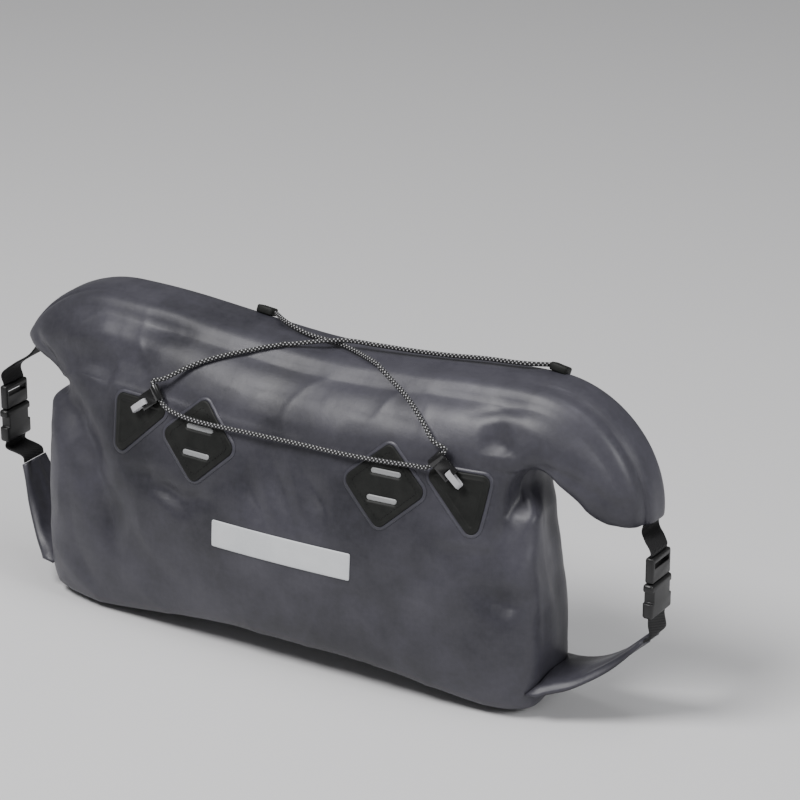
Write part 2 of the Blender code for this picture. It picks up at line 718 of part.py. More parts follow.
ROUTE_RIGHT_UP = ((0.117, -0.104, 0.007, 0.001), (0.104, -0.096, 0.015, 0.0), (0.083, -0.083, 0.025, 0.0),
                  (0.059, -0.070, 0.032, 0.0), (0.042, -0.062, 0.036, 0.0), (0.020, -0.051, 0.037, 0.0),
                  (0.000, -0.045, 0.038, 0.0), (-0.029, -0.042, 0.038, 0.0), (-0.053, -0.036, 0.041, 0.001))
ANCHORS = {"left": (-0.080, -0.027, 0.036), "right": (0.176, -0.027, 0.044)}
ANCHOR_SIZE = (0.014, 0.010, 0.006)
ANCHOR_ROUND = 0.0012
CORD_POINTS = (29, 22, 27)
MARKS_TOP_Z = 0.012
MARKS_FADE = 0.008


def build_cord(skin, bores):
    """The elastic cord, whole, with the two plain anchors behind the ridge that hold its ends."""
    ends = {}
    for side_name, side in SIDES:
        aim = Vector(ANCHORS[side_name])
        place, normal = skin.hit(aim + Vector((0, BODY_DEEP, BODY_DEEP)), (0, -1, -1))
        frame_x = Vector((1, 0, 0)) - normal * normal.x
        frame_x.normalize()
        frame = (frame_x, normal.cross(frame_x), normal)
        centre = place + normal * (ANCHOR_SIZE[2] / 2 + SKIN_GAP)
        box_object(f"rear_anchor_{side_name}", centre, ANCHOR_SIZE, frame, bevel=ANCHOR_ROUND, finish="rubber")
        ends[side_name] = centre - frame_x * side * (ANCHOR_SIZE[0] / 2 + GAP + 2 * SKIN_GAP)
    stack = SKIN_GAP + PATCH_THICK + GAP

    def places(rows):
        found = []
        for row in rows:
            name = dict(zip(ROUTE_COLUMNS, row))
            low = smooth((MARKS_TOP_Z - name["z"]) / MARKS_FADE)
            place = Vector((name["x"], name["y"], name["z"]))
            found.append(skin.clear(place, CORD_THICK / 2 + CORD_GAP + name["lift"] + low * stack))
        return found

    mouths = {}
    for side_name, (middle, way) in bores.items():
        mouths[side_name] = [middle + way * (HOOK_WIDE / 2 + MOUTH_CLEAR) * end for end in (1, -1)]
    left_up, left_low = mouths["left"]
    right_up, right_low = mouths["right"]
    runs = (
        ([ends["right"], *places(reversed(ROUTE_LEFT_UP)), left_up], None, left_low),
        ([left_low, *places(ROUTE_FRONT), right_low], left_up, right_up),
        ([right_up, *places(ROUTE_RIGHT_UP), ends["left"]], right_low, None),
    )
    settled = []
    for (points, before, after), count in zip(runs, CORD_POINTS):
        path = smooth_path(points, count, before, after)
        settled += [path[0], *(skin.clear(place, CORD_THICK / 2 + CORD_GAP) for place in path[1:-1]), path[-1]]
    curve = bpy.data.curves.new("bungee_cord", "CURVE")
    curve.dimensions = "3D"
    curve.bevel_depth = CORD_THICK / 2
    curve.bevel_resolution = 2
    curve.use_fill_caps = True
    spline = curve.splines.new("POLY")
    spline.points.add(len(settled) - 1)
    for point, place in zip(spline.points, settled):
        point.co = (*place, 1.0)
    cord = bpy.data.objects.new("bungee_cord", curve)
    bpy.context.collection.objects.link(cord)
    curve.materials.append(finish_of("bungee_cord", *FINISHES["cord"]))


def build_buckle(number, side_name):
    """The two halves of a side buckle; returns the middles of its top and its bottom."""
    frame = (Vector((1, 0, 0)), Vector((0, 1, 0)), Vector((0, 0, 1)))
    x, z = BUCKLE_X[number], BUCKLE_Z[number]
    half = (SOCKET_TALL + PRONG_TALL + GAP) / 2
    socket_z = z - half + SOCKET_TALL / 2
    prong_z = z + half - PRONG_TALL / 2
    socket = box_object(f"buckle_socket_{side_name}", (x, SIDE_Y, socket_z),
                        (BUCKLE_THICK, BUCKLE_WIDE, SOCKET_TALL), frame, bevel=SOCKET_ROUND)
    prong = box_object(f"buckle_prong_{side_name}", (x, SIDE_Y, prong_z),
                       (PRONG_THICK, PRONG_WIDE, PRONG_TALL), frame, bevel=PRONG_ROUND)
    cut(prong, box_object(f"prong_cutter_{side_name}", (x, SIDE_Y, prong_z + PRONG_SLOT_UP), PRONG_SLOT, frame))
    for end_name, end in (("front", -1), ("rear", 1)):
        place = (x, SIDE_Y + end * BUCKLE_WIDE / 2, socket_z + LATCH_UP)
        cut(socket, box_object(f"latch_cutter_{side_name}_{end_name}", place, LATCH_NOTCH, frame))
    return Vector((x, SIDE_Y, z + half)), Vector((x, SIDE_Y, z - half))


def ear_end(number, side):
    """Where the webbing leaves the end of an ear, and its way there."""
    start = (EAR_LEFT_START, EAR_RIGHT_START)[number]
    radius = (EAR_LEFT_RADIUS, EAR_RIGHT_RADIUS)[number]
    turn = (FLAT_WIDE / 2 + side * FLAT_SHIFT - side * start) / radius
    reach = radius + STRAP_EAR_REACH[number]
    ear = Vector((start + side * reach * math.sin(turn), STRAP_EAR_Y,
                  EAR_BEND_Z - radius + reach * math.cos(turn)))
    return ear, Vector((side * math.cos(turn), 0, -math.sin(turn)))


def build_upper_strap(skin, number, side_name, side, top):
    """Webbing from the end of an ear to the top of the buckle."""
    wide_way = Vector((0, 1, 0))
    up = Vector((0, 0, 1))
    ear, way = ear_end(number, side)
    thin_way = wide_way.cross(way)
    reaches = []
    for across in (-1, -0.5, 0, 0.5, 1):
        for layer in (-1, 0, 1):
            probe = ear + way * BUCKLE_WIDE * 2 + wide_way * across * WEB_WIDE / 2 + thin_way * layer * WEB_THICK
            found = skin.tree.ray_cast(probe, -way)[0]
            if found is not None:
                reaches.append((found - ear).dot(way))
    start = ear + way * (max(reaches) + 2 * SKIN_GAP)
    end = top + up * GAP
    handle = abs(end.z - start.z) / 2
    path = smooth_path([start, start + way * handle, end + up * handle * 0.6, end], STRAP_STEPS)
    mesh = bmesh.new()
    loft(mesh, band_rings(path, wide_way, [WEB_WIDE] * len(path), WEB_THICK))
    new_object(f"upper_strap_{side_name}", mesh, "webbing")


def beside(skin, point, side, seated):
    """A point beside an end panel, moved sideways to the panel's gap if it is seated there or inside."""
    found = skin.tree.ray_cast(Vector((2 * side * BODY_WIDE, point.y, point.z)), Vector((-side, 0, 0)))[0]
    if found is not None and found.x * side > TAB_SEAT_SHARE * BODY_WIDE:
        reach = found.x * side + TAB_GAP
        if seated or point.x * side < reach:
            point = Vector((side * reach, point.y, point.z))
    return point


def build_tab(skin, number, side_name, side, low):
    """The folded tab of the base and the webbing from its tip to the buckle."""
    wide_way = Vector((0, 1, 0))
    up = Vector((0, 0, 1))
    tip = Vector((TAB_TIP[number][0], SIDE_Y, TAB_TIP[number][1]))
    root, _ = skin.hit((2 * side * BODY_WIDE, TAB_ROOT_Y, TAB_ROOT_Z), (-side, 0, 0))
    root += Vector((side * TAB_ROOT_INSET, 0, 0))
    run = tip - root
    path = smooth_path([root, root + run / 3 - up * TAB_SAG, root + run * 2 / 3 - up * TAB_SAG, tip], TAB_STEPS)
    rings = []
    for k, place in enumerate(path):
        share = k / (TAB_STEPS - 1)
        half = (TAB_ROOT_WIDE + (TAB_TIP_WIDE - TAB_ROOT_WIDE) * share ** TAB_TAPER) / 2
        before, after = path[max(k - 1, 0)], path[min(k + 1, TAB_STEPS - 1)]
        over = (after - before).cross(wide_way).normalized()
        over *= math.copysign(1, over.z)
        flat = 1 - share
        top = [place + wide_way * half * across + over * half * lift * flat for across, lift in TAB_SECTION]
        ring = top + [point + over * TAB_THICK for point in reversed(top)]
        rings.append([beside(skin, point, side, k == 0) for point in ring])
    mesh = bmesh.new()
    loft(mesh, rings, strips=True)
    new_object(f"base_tab_{side_name}", mesh, "coated cloth")

    run_way = (path[-1] - path[-2]).normalized()
    over = run_way.cross(wide_way).normalized()
    over *= math.copysign(1, over.z)
    start = tip + over * TAB_THICK / 2 + run_way * LOWER_CLEAR
    end = low - up * GAP
    path = smooth_path([start, start + run_way * LOWER_LEAD, end - up * LOWER_LEAD, end], LOWER_STEPS)
    mesh = bmesh.new()
    loft(mesh, band_rings(path, wide_way, [WEB_WIDE] * len(path), WEB_THICK))
    new_object(f"lower_strap_{side_name}", mesh, "webbing")


def build_bar_strap(skin, side_name, side):
    """A plain strap round the handlebar, with a foot on the back of the bag."""
    x = side * BAR_STRAP_X
    foot_low = BAR_FOOT_TOP - 0.75 * BAR_FOOT_TALL
    depths = []
    for across in (-1, 0, 1):
        for share in (0, 1 / 3, 2 / 3, 1):
            spot = (x + across * WEB_WIDE / 2, BAR_PROBE_Y, BAR_FOOT_TOP + (foot_low - BAR_FOOT_TOP) * share)
            depths.append(skin.hit(spot, (0, -1, 0))[0].y)
    foot_y = max(depths) + SKIN_GAP
    inner_radius = BAR_RADIUS + BAR_CLEAR
    outer_radius = inner_radius + BAR_STRAP_THICK
    inner, outer = [], []
    for k in range(BAR_STRAP_STEPS):
        angle = math.tau * k / BAR_STRAP_STEPS
        inner.append((inner_radius * math.cos(angle), inner_radius * math.sin(angle)))
        outer.append((outer_radius * math.cos(angle), outer_radius * math.sin(angle)))
    foot = [(foot_y, BAR_FOOT_TOP), (foot_y, (BAR_FOOT_TOP + foot_low) / 2), (foot_y, foot_low),
            (foot_y + BAR_STRAP_THICK, foot_low)]
    first = BAR_STRAP_STEPS // 2
    outer[first:first + len(foot)] = foot
    rings = []
    for outline, end in ((inner, -1), (inner, 1), (outer, 1), (outer, -1)):
        rings.append([Vector((x + end * WEB_WIDE / 2, y, z)) for y, z in outline])
    mesh = bmesh.new()
    loft(mesh, rings, closed=True)
    new_object(f"bar_strap_{side_name}", mesh, "webbing")


def main():
    """Build every piece."""
    for item in list(bpy.data.objects):
        bpy.data.objects.remove(item, do_unlink=True)
    skin = Skin(build_shell())
    bores = {}
    for number, (side_name, side) in enumerate(SIDES):
        build_lash_patch(skin, side_name, side)
        bores[side_name] = build_hook(skin, side_name, side)
        top, low = build_buckle(number, side_name)
        build_upper_strap(skin, number, side_name, side, top)
        build_tab(skin, number, side_name, side, low)
        build_bar_strap(skin, side_name, side)
    build_cord(skin, bores)
    strip = rectangle(0.0, STRIP_Z, STRIP_HALF_WIDE, STRIP_HALF_TALL)
    skin_patch("front_strip", skin, strip, STRIP_ROUND, STRIP_THICK, SKIN_GAP, "reflective", step=0.012, rings=2)


main()
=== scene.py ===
"""Looks of a roll-top handlebar bag: coated cloth, welded patches, webbing, buckles and an elastic cord.

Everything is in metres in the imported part's frame: X along the bag's width, the front faces -Y, +Z is up.
"""
import logging
import math
from dataclasses import dataclass
from enum import Enum
from typing import Callable, Sequence

import bpy
import numpy as np
from mathutils import Matrix, Vector, noise
from mathutils.bvhtree import BVHTree


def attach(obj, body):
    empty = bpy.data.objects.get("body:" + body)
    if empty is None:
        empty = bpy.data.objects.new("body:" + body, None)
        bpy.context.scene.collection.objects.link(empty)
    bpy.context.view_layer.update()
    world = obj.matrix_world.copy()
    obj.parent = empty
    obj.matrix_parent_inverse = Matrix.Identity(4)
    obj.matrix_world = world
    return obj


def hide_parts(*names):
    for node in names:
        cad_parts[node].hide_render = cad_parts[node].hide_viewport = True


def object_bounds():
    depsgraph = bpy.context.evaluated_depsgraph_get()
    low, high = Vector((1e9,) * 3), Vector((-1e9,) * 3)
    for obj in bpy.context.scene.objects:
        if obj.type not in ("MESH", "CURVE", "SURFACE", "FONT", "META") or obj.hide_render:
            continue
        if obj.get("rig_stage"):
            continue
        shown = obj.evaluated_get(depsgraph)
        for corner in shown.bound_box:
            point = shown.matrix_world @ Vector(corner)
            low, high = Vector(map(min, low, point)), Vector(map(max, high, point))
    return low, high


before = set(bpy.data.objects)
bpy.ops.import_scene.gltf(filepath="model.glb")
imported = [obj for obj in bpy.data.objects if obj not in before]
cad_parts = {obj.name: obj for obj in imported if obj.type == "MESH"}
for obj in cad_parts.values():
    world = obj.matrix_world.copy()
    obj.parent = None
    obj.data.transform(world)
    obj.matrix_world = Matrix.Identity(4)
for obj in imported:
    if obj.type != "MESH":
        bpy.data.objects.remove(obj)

LOG = logging.getLogger("handlebar_bag")
ROOT = "root"
ARC_STEPS = 8
PATH_STEPS = 12
SAME_POINT = 1e-6
Array = np.ndarray


class Side(Enum):
    """The two ends of the bag, with the way that each lies along X."""

    LEFT = -1
    RIGHT = 1

    @property
    def word(self) -> str:
        """The side's name as the nodes have it."""
        return self.name.lower()

    @property
    def number(self) -> int:
        """The side's place in a pair of values."""
        return 0 if self is Side.LEFT else 1


# Curves and easing


def smooth(share: Array | float) -> Array:
    """An easy step from 0 to 1."""
    share = np.clip(share, 0.0, 1.0)
    return share * share * (3 - 2 * share)


def eased_rows(rows: Array, steps: int) -> Array:
    """Rows between rows that never overshoot.

    Args:
        rows: values, one row for each named place.
        steps: how many steps each interval is cut into.

    Returns:
        The finer rows, from the first to the last.
    """
    slopes = np.diff(rows, axis=0)
    tangents = np.zeros_like(rows)
    before, after = slopes[:-1], slopes[1:]
    product = before * after
    total = np.where(np.abs(before + after) < 1e-12, 1.0, before + after)
    tangents[1:-1] = np.where(product > 0, 2 * product / total, 0.0)
    tangents[0], tangents[-1] = slopes[0], slopes[-1]
    fine = []
    for k, start in enumerate(rows[:-1]):
        for step in range(steps):
            t = step / steps
            fine.append((1 + 2 * t) * (1 - t) ** 2 * start + t * (1 - t) ** 2 * tangents[k]
                        + t * t * (3 - 2 * t) * rows[k + 1] + t * t * (t - 1) * tangents[k + 1])
    fine.append(rows[-1])
    return np.array(fine)


def curve_through(ends: Sequence, steps: int) -> list:
    """Points on a smooth curve, from the second of the given points to the last but one.

    Args:
        ends: the points, with one more before the start and one more after the end.
        steps: how many steps each interval is cut into.

    Returns:
        The points of the curve, without its last one.
    """
    fine = []
    for a, b, c, d in zip(ends, ends[1:], ends[2:], ends[3:]):
        for step in range(steps):
            t = step / steps
            fine.append(0.5 * (2 * b + (c - a) * t + (2 * a - 5 * b + 4 * c - d) * t ** 2
                               + (3 * b - a - 3 * c + d) * t ** 3))
    return fine


def curved_rows(rows: Array, steps: int) -> Array:
    """Rows on a smooth curve through the given ones.

    Args:
        rows: points, one in each row.
        steps: how many steps each interval is cut into.

    Returns:
        The finer rows, from the first to the last.
    """
    ends = np.vstack([2 * rows[0] - rows[1], rows, 2 * rows[-1] - rows[-2]])
    return np.array(curve_through(ends, steps) + [rows[-1]])


def even_path(points: Sequence[Vector], count: int, before: Vector | None = None,
              after: Vector | None = None) -> list[Vector]:
    """Points at equal steps along a smooth curve.

    Args:
        points: the places that the curve passes.
        count: how many points come back.
        before: a point that steers the start.
        after: a point that steers the end.

    Returns:
        The even points.
    """
    ends = [before or 2 * points[0] - points[1], *points, after or 2 * points[-1] - points[-2]]
    fine = curve_through(ends, PATH_STEPS) + [points[-1]]
    return [Vector(p) for p in evened(np.array([tuple(p) for p in fine]), count)]


def evened(points: Array, count: int) -> Array:
    """The points of a line at equal steps along it.

    Args:
        points: the line's points, one a row.
        count: how many points to return.

    Returns:
        The evenly spaced points.
    """
    lengths = np.concatenate([[0.0], np.cumsum(np.linalg.norm(np.diff(points, axis=0), axis=1))])
    wanted = np.linspace(0, lengths[-1], count)
    return np.stack([np.interp(wanted, lengths, points[:, k]) for k in range(points.shape[1])], axis=1)


def rounded_outline(corners: Sequence[tuple[float, float]], radius: float, count: int) -> Array:
    """A closed outline with round corners.

    Args:
        corners: the corners before rounding, in order.
        radius: the radius of the corners.
        count: how many even points come back; the first one isn't repeated.

    Returns:
        The outline's points.
    """
    outline = []
    for k, corner in enumerate(corners):
        here = Vector(corner)
        before = (Vector(corners[k - 1]) - here).normalized()
        after = (Vector(corners[(k + 1) % len(corners)]) - here).normalized()
        half = before.angle(after) / 2
        middle = here + (before + after).normalized() * radius / math.sin(half)
        start = here + before * radius / math.tan(half) - middle
        end = here + after * radius / math.tan(half) - middle
        first = math.atan2(start.y, start.x)
        sweep = (math.atan2(end.y, end.x) - first + math.pi) % math.tau - math.pi
        for step in range(ARC_STEPS + 1):
            angle = first + sweep * step / ARC_STEPS
            outline.append(tuple(middle + radius * Vector((math.cos(angle), math.sin(angle)))))
    outline.append(outline[0])
    return evened(np.array(outline), count + 1)[:-1]


def inset(outline: Array, distance: float) -> Array:
    """The outline moved inwards by a distance.

    Args:
        outline: the outline's points, without the first one again.
        distance: how far to move them; a negative one moves them outwards.

    Returns:
        The moved points.
    """
    run = np.roll(outline, -1, axis=0) - np.roll(outline, 1, axis=0)
    run /= np.linalg.norm(run, axis=1)[:, None]
    inwards = np.stack([-run[:, 1], run[:, 0]], axis=1)
    centre = outline.mean(axis=0)
    if np.sum(inwards * (centre - outline)) < 0:
        inwards = -inwards
    return outline + inwards * distance


# Shader recipes


class Value:
    """A number that changes over a surface, on which arithmetic adds Math nodes."""

    def __init__(self, recipe: "Recipe", socket: bpy.types.NodeSocket) -> None:
        """Wrap an output socket of a recipe."""
        self.recipe = recipe
        self.socket = socket

    def _maths(self, operation: str, *terms: "Value | float") -> "Value":
        """A Math node on the given terms."""
        sockets = {k: term for k, term in enumerate(terms)}
        return self.recipe.node("ShaderNodeMath", {"operation": operation}, sockets).value(0)

    def __add__(self, other: "Value | float") -> "Value":
        """The sum."""
        return self._maths("ADD", self, other)

    def __sub__(self, other: "Value | float") -> "Value":
        """The difference."""
        return self._maths("SUBTRACT", self, other)

    def __rsub__(self, other: float) -> "Value":
        """A number less this one."""
        return self._maths("SUBTRACT", other, self)

    def __mul__(self, other: "Value | float") -> "Value":
        """The product."""
        return self._maths("MULTIPLY", self, other)

    def __pow__(self, other: float) -> "Value":
        """The power."""
        return self._maths("POWER", self, other)

    __radd__ = __add__
    __rmul__ = __mul__

    def sine(self) -> "Value":
        """The sine."""
        return self._maths("SINE", self)

    def size(self) -> "Value":
        """The value without its sign."""
        return self._maths("ABSOLUTE", self)

    def clamped(self) -> "Value":
        """The value held between 0 and 1."""
        return self._maths("MAXIMUM", self._maths("MINIMUM", self, 1.0), 0.0)


class Step:
    """One shader node, whose outputs are taken by number or name."""

    def __init__(self, recipe: "Recipe", made: bpy.types.Node) -> None:
        """Wrap a node of a recipe."""
        self.recipe = recipe
        self.made = made

    def value(self, name: int | str) -> Value:
        """An output as a number."""
        return Value(self.recipe, self.made.outputs[name])


class Recipe:
    """A material built from nodes."""

    def __init__(self, name: str) -> None:
        """Start a Principled material.

        Args:
            name: the material's name.
        """
        self.material = bpy.data.materials.new(name)
        self.material.use_nodes = True
        self.tree = self.material.node_tree
        self.shader = self.tree.nodes["Principled BSDF"]

    def node(self, kind: str, settings: dict, sockets: dict) -> Step:
        """Add a node.

        Args:
            kind: the node's type.
            settings: its own settings, which are set first.
            sockets: values, Values or sockets for its inputs, by number or name.

        Returns:
            The new node.
        """
        made = self.tree.nodes.new(kind)
        for name, setting in settings.items():
            setattr(made, name, setting)
        for name, given in sockets.items():
            self.feed(made.inputs[name], given)
        return Step(self, made)

    def feed(self, target: bpy.types.NodeSocket, given: object) -> None:
        """Link or set one input.

        Args:
            target: the input.
            given: a socket to link, a value or a constant.
        """
        if isinstance(given, Value):
            given = given.socket
        if isinstance(given, bpy.types.NodeSocket):
            self.tree.links.new(given, target)
        else:
            target.default_value = given

    def place(self) -> Value:
        """Where the shaded point is, in metres."""
        return self.node("ShaderNodeTexCoord", {}, {}).value("Object")

    def cloth_place(self) -> Value:
        """Where the shaded point is on the piece's own map, in metres."""
        return self.node("ShaderNodeTexCoord", {}, {}).value("UV")

    def split(self, vector: Value) -> tuple[Value, Value, Value]:
        """The three parts of a vector."""
        parts = self.node("ShaderNodeSeparateXYZ", {}, {0: vector})
        return parts.value(0), parts.value(1), parts.value(2)

    def clouds(self, vector: Value, period: float, detail: float = 3.0, rough: float = 0.55) -> Value:
        """Soft noise from 0 to 1.

        Args:
            vector: where it is read.
            period: the size of its largest spots, in metres.
            detail: how many finer layers it has.
            rough: how strong those are.

        Returns:
            The noise.
        """
        sockets = {"Vector": vector, "Scale": 1 / period, "Detail": detail, "Roughness": rough}
        return self.node("ShaderNodeTexNoise", {"noise_dimensions": "3D"}, sockets).value(0)

    def mix(self, share: Value | float, first: object, second: object) -> bpy.types.NodeSocket:
        """A colour between two colours.

        Args:
            share: how much of the second colour.
            first: the colour at 0.
            second: the colour at 1.

        Returns:
            The mixed colour's socket.
        """
        made = self.node("ShaderNodeMix", {"data_type": "RGBA"}, {"Factor": share})
        self.feed(made.made.inputs[6], first)
        self.feed(made.made.inputs[7], second)
        return made.made.outputs[2]

    def bump(self, height: Value, distance: float, strength: float = 1.0) -> Value:
        """A normal from a height."""
        return self.node("ShaderNodeBump", {}, {"Strength": strength, "Distance": distance,
                                                "Height": height}).value(0)

    def done(self, **sockets: object) -> bpy.types.Material:
        """Feed the shader's own sockets, with underscores for spaces in their names.

        Args:
            sockets: what each socket is fed.

        Returns:
            The finished material.
        """
        for name, given in sockets.items():
            self.feed(self.shader.inputs[name.replace("_", " ").title().replace("Ior", "IOR")], given)
        return self.material


@dataclass(frozen=True)
class CoatedCloth:
    """Charcoal ripstop with a satin coat, mapped along the cloth."""

    name: str = "coated_cloth"
    light: tuple = (0.080, 0.078, 0.097, 1.0)
    dark: tuple = (0.019, 0.019, 0.025, 1.0)
    thread: float = 0.0011
    ripstop: float = 0.0066
    blotch_size: float = 0.085
    scuff_size: float = 0.024
    fibre_size: float = 0.0035
    relief: float = 0.00016
    scuff_relief: float = 0.0006
    roughness: float = 0.36

    def make(self) -> bpy.types.Material:
        """The finished material.

        Returns:
            The material.
        """
        recipe = Recipe(self.name)
        cloth, place = recipe.cloth_place(), recipe.place()
        across, along, _ = recipe.split(cloth)
        weft = (across * (math.tau / self.thread)).sine()
        warp = (along * (math.tau / self.thread)).sine()
        weave = weft * warp * 0.5 + 0.5
        bars = ((across * (math.pi / self.ripstop)).sine().size() ** 30
                + (along * (math.pi / self.ripstop)).sine().size() ** 30).clamped()
        blotch = recipe.clouds(place, self.blotch_size, 4.0, 0.6)
        fibre = recipe.clouds(place, self.fibre_size, 3.0, 0.6)
        scuff = recipe.clouds(place, self.scuff_size, 5.0, 0.7)
        share = ((blotch - 0.28) * 1.9 + (fibre - 0.5) * 0.35 + bars * 0.02 + (weave - 0.5) * 0.16).clamped()
        colour = recipe.mix(share, self.dark, self.light)
        height = weave * 0.5 + bars * 0.06 + fibre * 0.8
        soft = recipe.bump(scuff, self.scuff_relief, 0.45)
        fine = recipe.node("ShaderNodeBump", {}, {"Strength": 0.42, "Distance": self.relief,
                                                  "Height": height, "Normal": soft}).value(0)
        return recipe.done(base_color=colour, roughness=scuff * 0.20 + (self.roughness - 0.07) + fibre * 0.06,
                           normal=fine, specular_ior_level=0.40, coat_weight=0.05,
                           coat_roughness=0.30)


@dataclass(frozen=True)
class Rubber:
    """Dull rubber-coated fabric with a fine pebble."""

    name: str = "welded_patch"
    light: tuple = (0.021, 0.022, 0.0205, 1.0)
    dark: tuple = (0.009, 0.0095, 0.009, 1.0)
    pebble_size: float = 0.0011
    dust_size: float = 0.016
    relief: float = 0.00022
    roughness: float = 0.52

    def make(self) -> bpy.types.Material:
        """The finished material.

        Returns:
            The material.
        """
        recipe = Recipe(self.name)
        place = recipe.place()
        pebble = recipe.clouds(place, self.pebble_size, 4.0, 0.6)
        dust = recipe.clouds(place, self.dust_size, 4.0, 0.65)
        colour = recipe.mix(((dust - 0.3) * 1.7 + (pebble - 0.5) * 0.5).clamped(), self.dark, self.light)
        return recipe.done(base_color=colour, roughness=dust * 0.22 + self.roughness - 0.10,
                           normal=recipe.bump(pebble + dust * 0.5, self.relief, 0.5), coat_weight=0.02,
                           coat_roughness=0.35, specular_ior_level=0.20)


@dataclass(frozen=True)
class Webbing:
    """Black woven webbing with ribs across it and a twill between, mapped along the strap."""

    name: str = "webbing"
    light: tuple = (0.020, 0.020, 0.021, 1.0)
    dark: tuple = (0.003, 0.003, 0.0035, 1.0)
    rib: float = 0.0021
    yarn: float = 0.0016
    slub: float = 0.0022
    relief: float = 0.00045

    def make(self) -> bpy.types.Material:
        """The finished material.

        Returns:
            The material.
        """
        recipe = Recipe(self.name)
        across, along, _ = recipe.split(recipe.cloth_place())
        slubs = recipe.clouds(recipe.place(), self.slub, 3.0, 0.6)
        ribs = ((along + across * 0.35) * (math.pi / self.rib)).sine().size() ** 0.7
        yarns = (across * (math.pi / self.yarn)).sine().size() ** 0.7
        height = (ribs * 0.6 + yarns * 0.4) * 0.8 + slubs * 0.3
        colour = recipe.mix((height - 0.25).clamped(), self.dark, self.light)
        return recipe.done(base_color=colour, roughness=0.82 - height * 0.22,
                           normal=recipe.bump(height, self.relief, 0.8), specular_ior_level=0.30)


@dataclass(frozen=True)
class Moulded:
    """Black moulded plastic, from grained to glossy."""

    name: str
    colour: tuple
    roughness: float
    grain: float
    coat: float
    grain_size: float = 0.0007
    wear_size: float = 0.011
    relief: float = 0.00012

    def make(self) -> bpy.types.Material:
        """The finished material.

        Returns:
            The material.
        """
        recipe = Recipe(self.name)
        place = recipe.place()
        grain = recipe.clouds(place, self.grain_size, 3.0, 0.6)
        wear = recipe.clouds(place, self.wear_size, 5.0, 0.7)
        pale = tuple(min(1.0, part * 1.8 + 0.004) for part in self.colour[:3]) + (1.0,)
        colour = recipe.mix(((wear - 0.42) * 1.6 + (grain - 0.5) * 0.3).clamped(), self.colour, pale)
        return recipe.done(base_color=colour, roughness=wear * 0.24 + self.roughness - 0.10,
                           normal=recipe.bump(grain + wear * 0.3, self.relief, self.grain),
                           coat_weight=self.coat, coat_roughness=0.18)


@dataclass(frozen=True)
class FleckedCord:
    """A black braid with pale flecks, mapped along and round the cord."""

    name: str = "flecked_cord"
    black: tuple = (0.010, 0.010, 0.011, 1.0)
    pale: tuple = (0.46, 0.46, 0.47, 1.0)
    pitch: float = 0.0031
    starts: int = 3
    fibre_size: float = 0.0009
    relief: float = 0.0003

    def make(self) -> bpy.types.Material:
        """The finished material.

        Returns:
            The material.
        """
        recipe = Recipe(self.name)
        round_cord, along, _ = recipe.split(recipe.cloth_place())
        climb, turn = along * (math.pi / self.pitch), round_cord * (math.pi * self.starts)
        left, right = (climb + turn).sine().size(), (climb - turn).sine().size()
        fibre = recipe.clouds(recipe.place(), self.fibre_size, 2.0, 0.6)
        braid = left * right
        fleck = ((braid + (fibre - 0.5) * 0.25 - 0.66) * 7.0).clamped()
        colour = recipe.mix(fleck, self.black, self.pale)
        return recipe.done(base_color=colour, roughness=0.68 - fleck * 0.12,
                           normal=recipe.bump(left + right, self.relief, 0.7))


@dataclass(frozen=True)
class SilverTape:
    """Narrow silver-white tape with fine ribs."""

    name: str = "silver_tape"
    light: tuple = (0.80, 0.80, 0.80, 1.0)
    dark: tuple = (0.42, 0.42, 0.44, 1.0)
    rib: float = 0.0009
    yarn: float = 0.0007
    relief: float = 0.0002

    def make(self) -> bpy.types.Material:
        """The finished material.

        Returns:
            The material.
        """
        recipe = Recipe(self.name)
        across, along, _ = recipe.split(recipe.cloth_place())
        ribs = (along * (math.pi / self.rib)).sine().size()
        yarns = (across * (math.pi / self.yarn)).sine().size()
        height = ribs * 0.7 + yarns * 0.3
        colour = recipe.mix(height, self.dark, self.light)
        return recipe.done(base_color=colour, roughness=0.52 - height * 0.15,
                           normal=recipe.bump(height, self.relief, 0.7))


@dataclass(frozen=True)
class LightFilm:
    """Bare light grey reflective film with a bead texture."""

    name: str = "light_film"
    light: tuple = (0.74, 0.755, 0.775, 1.0)
    dark: tuple = (0.58, 0.60, 0.62, 1.0)
    bead: float = 0.0009
    haze_size: float = 0.030
    relief: float = 0.00012

    def make(self) -> bpy.types.Material:
        """The finished material.

        Returns:
            The material.
        """
        recipe = Recipe(self.name)
        place = recipe.place()
        cells = recipe.node("ShaderNodeTexVoronoi", {"feature": "F1"},
                            {"Vector": place, "Scale": 1 / self.bead}).value("Distance")
        haze = recipe.clouds(place, self.haze_size, 4.0, 0.6)
        share = ((haze - 0.25) * 1.5 - cells * 0.25 + 0.1).clamped()
        colour = recipe.mix(share, self.dark, self.light)
        return recipe.done(base_color=colour, roughness=haze * 0.18 + 0.30,
                           normal=recipe.bump(cells, self.relief, 0.3), coat_weight=0.18, coat_roughness=0.30)


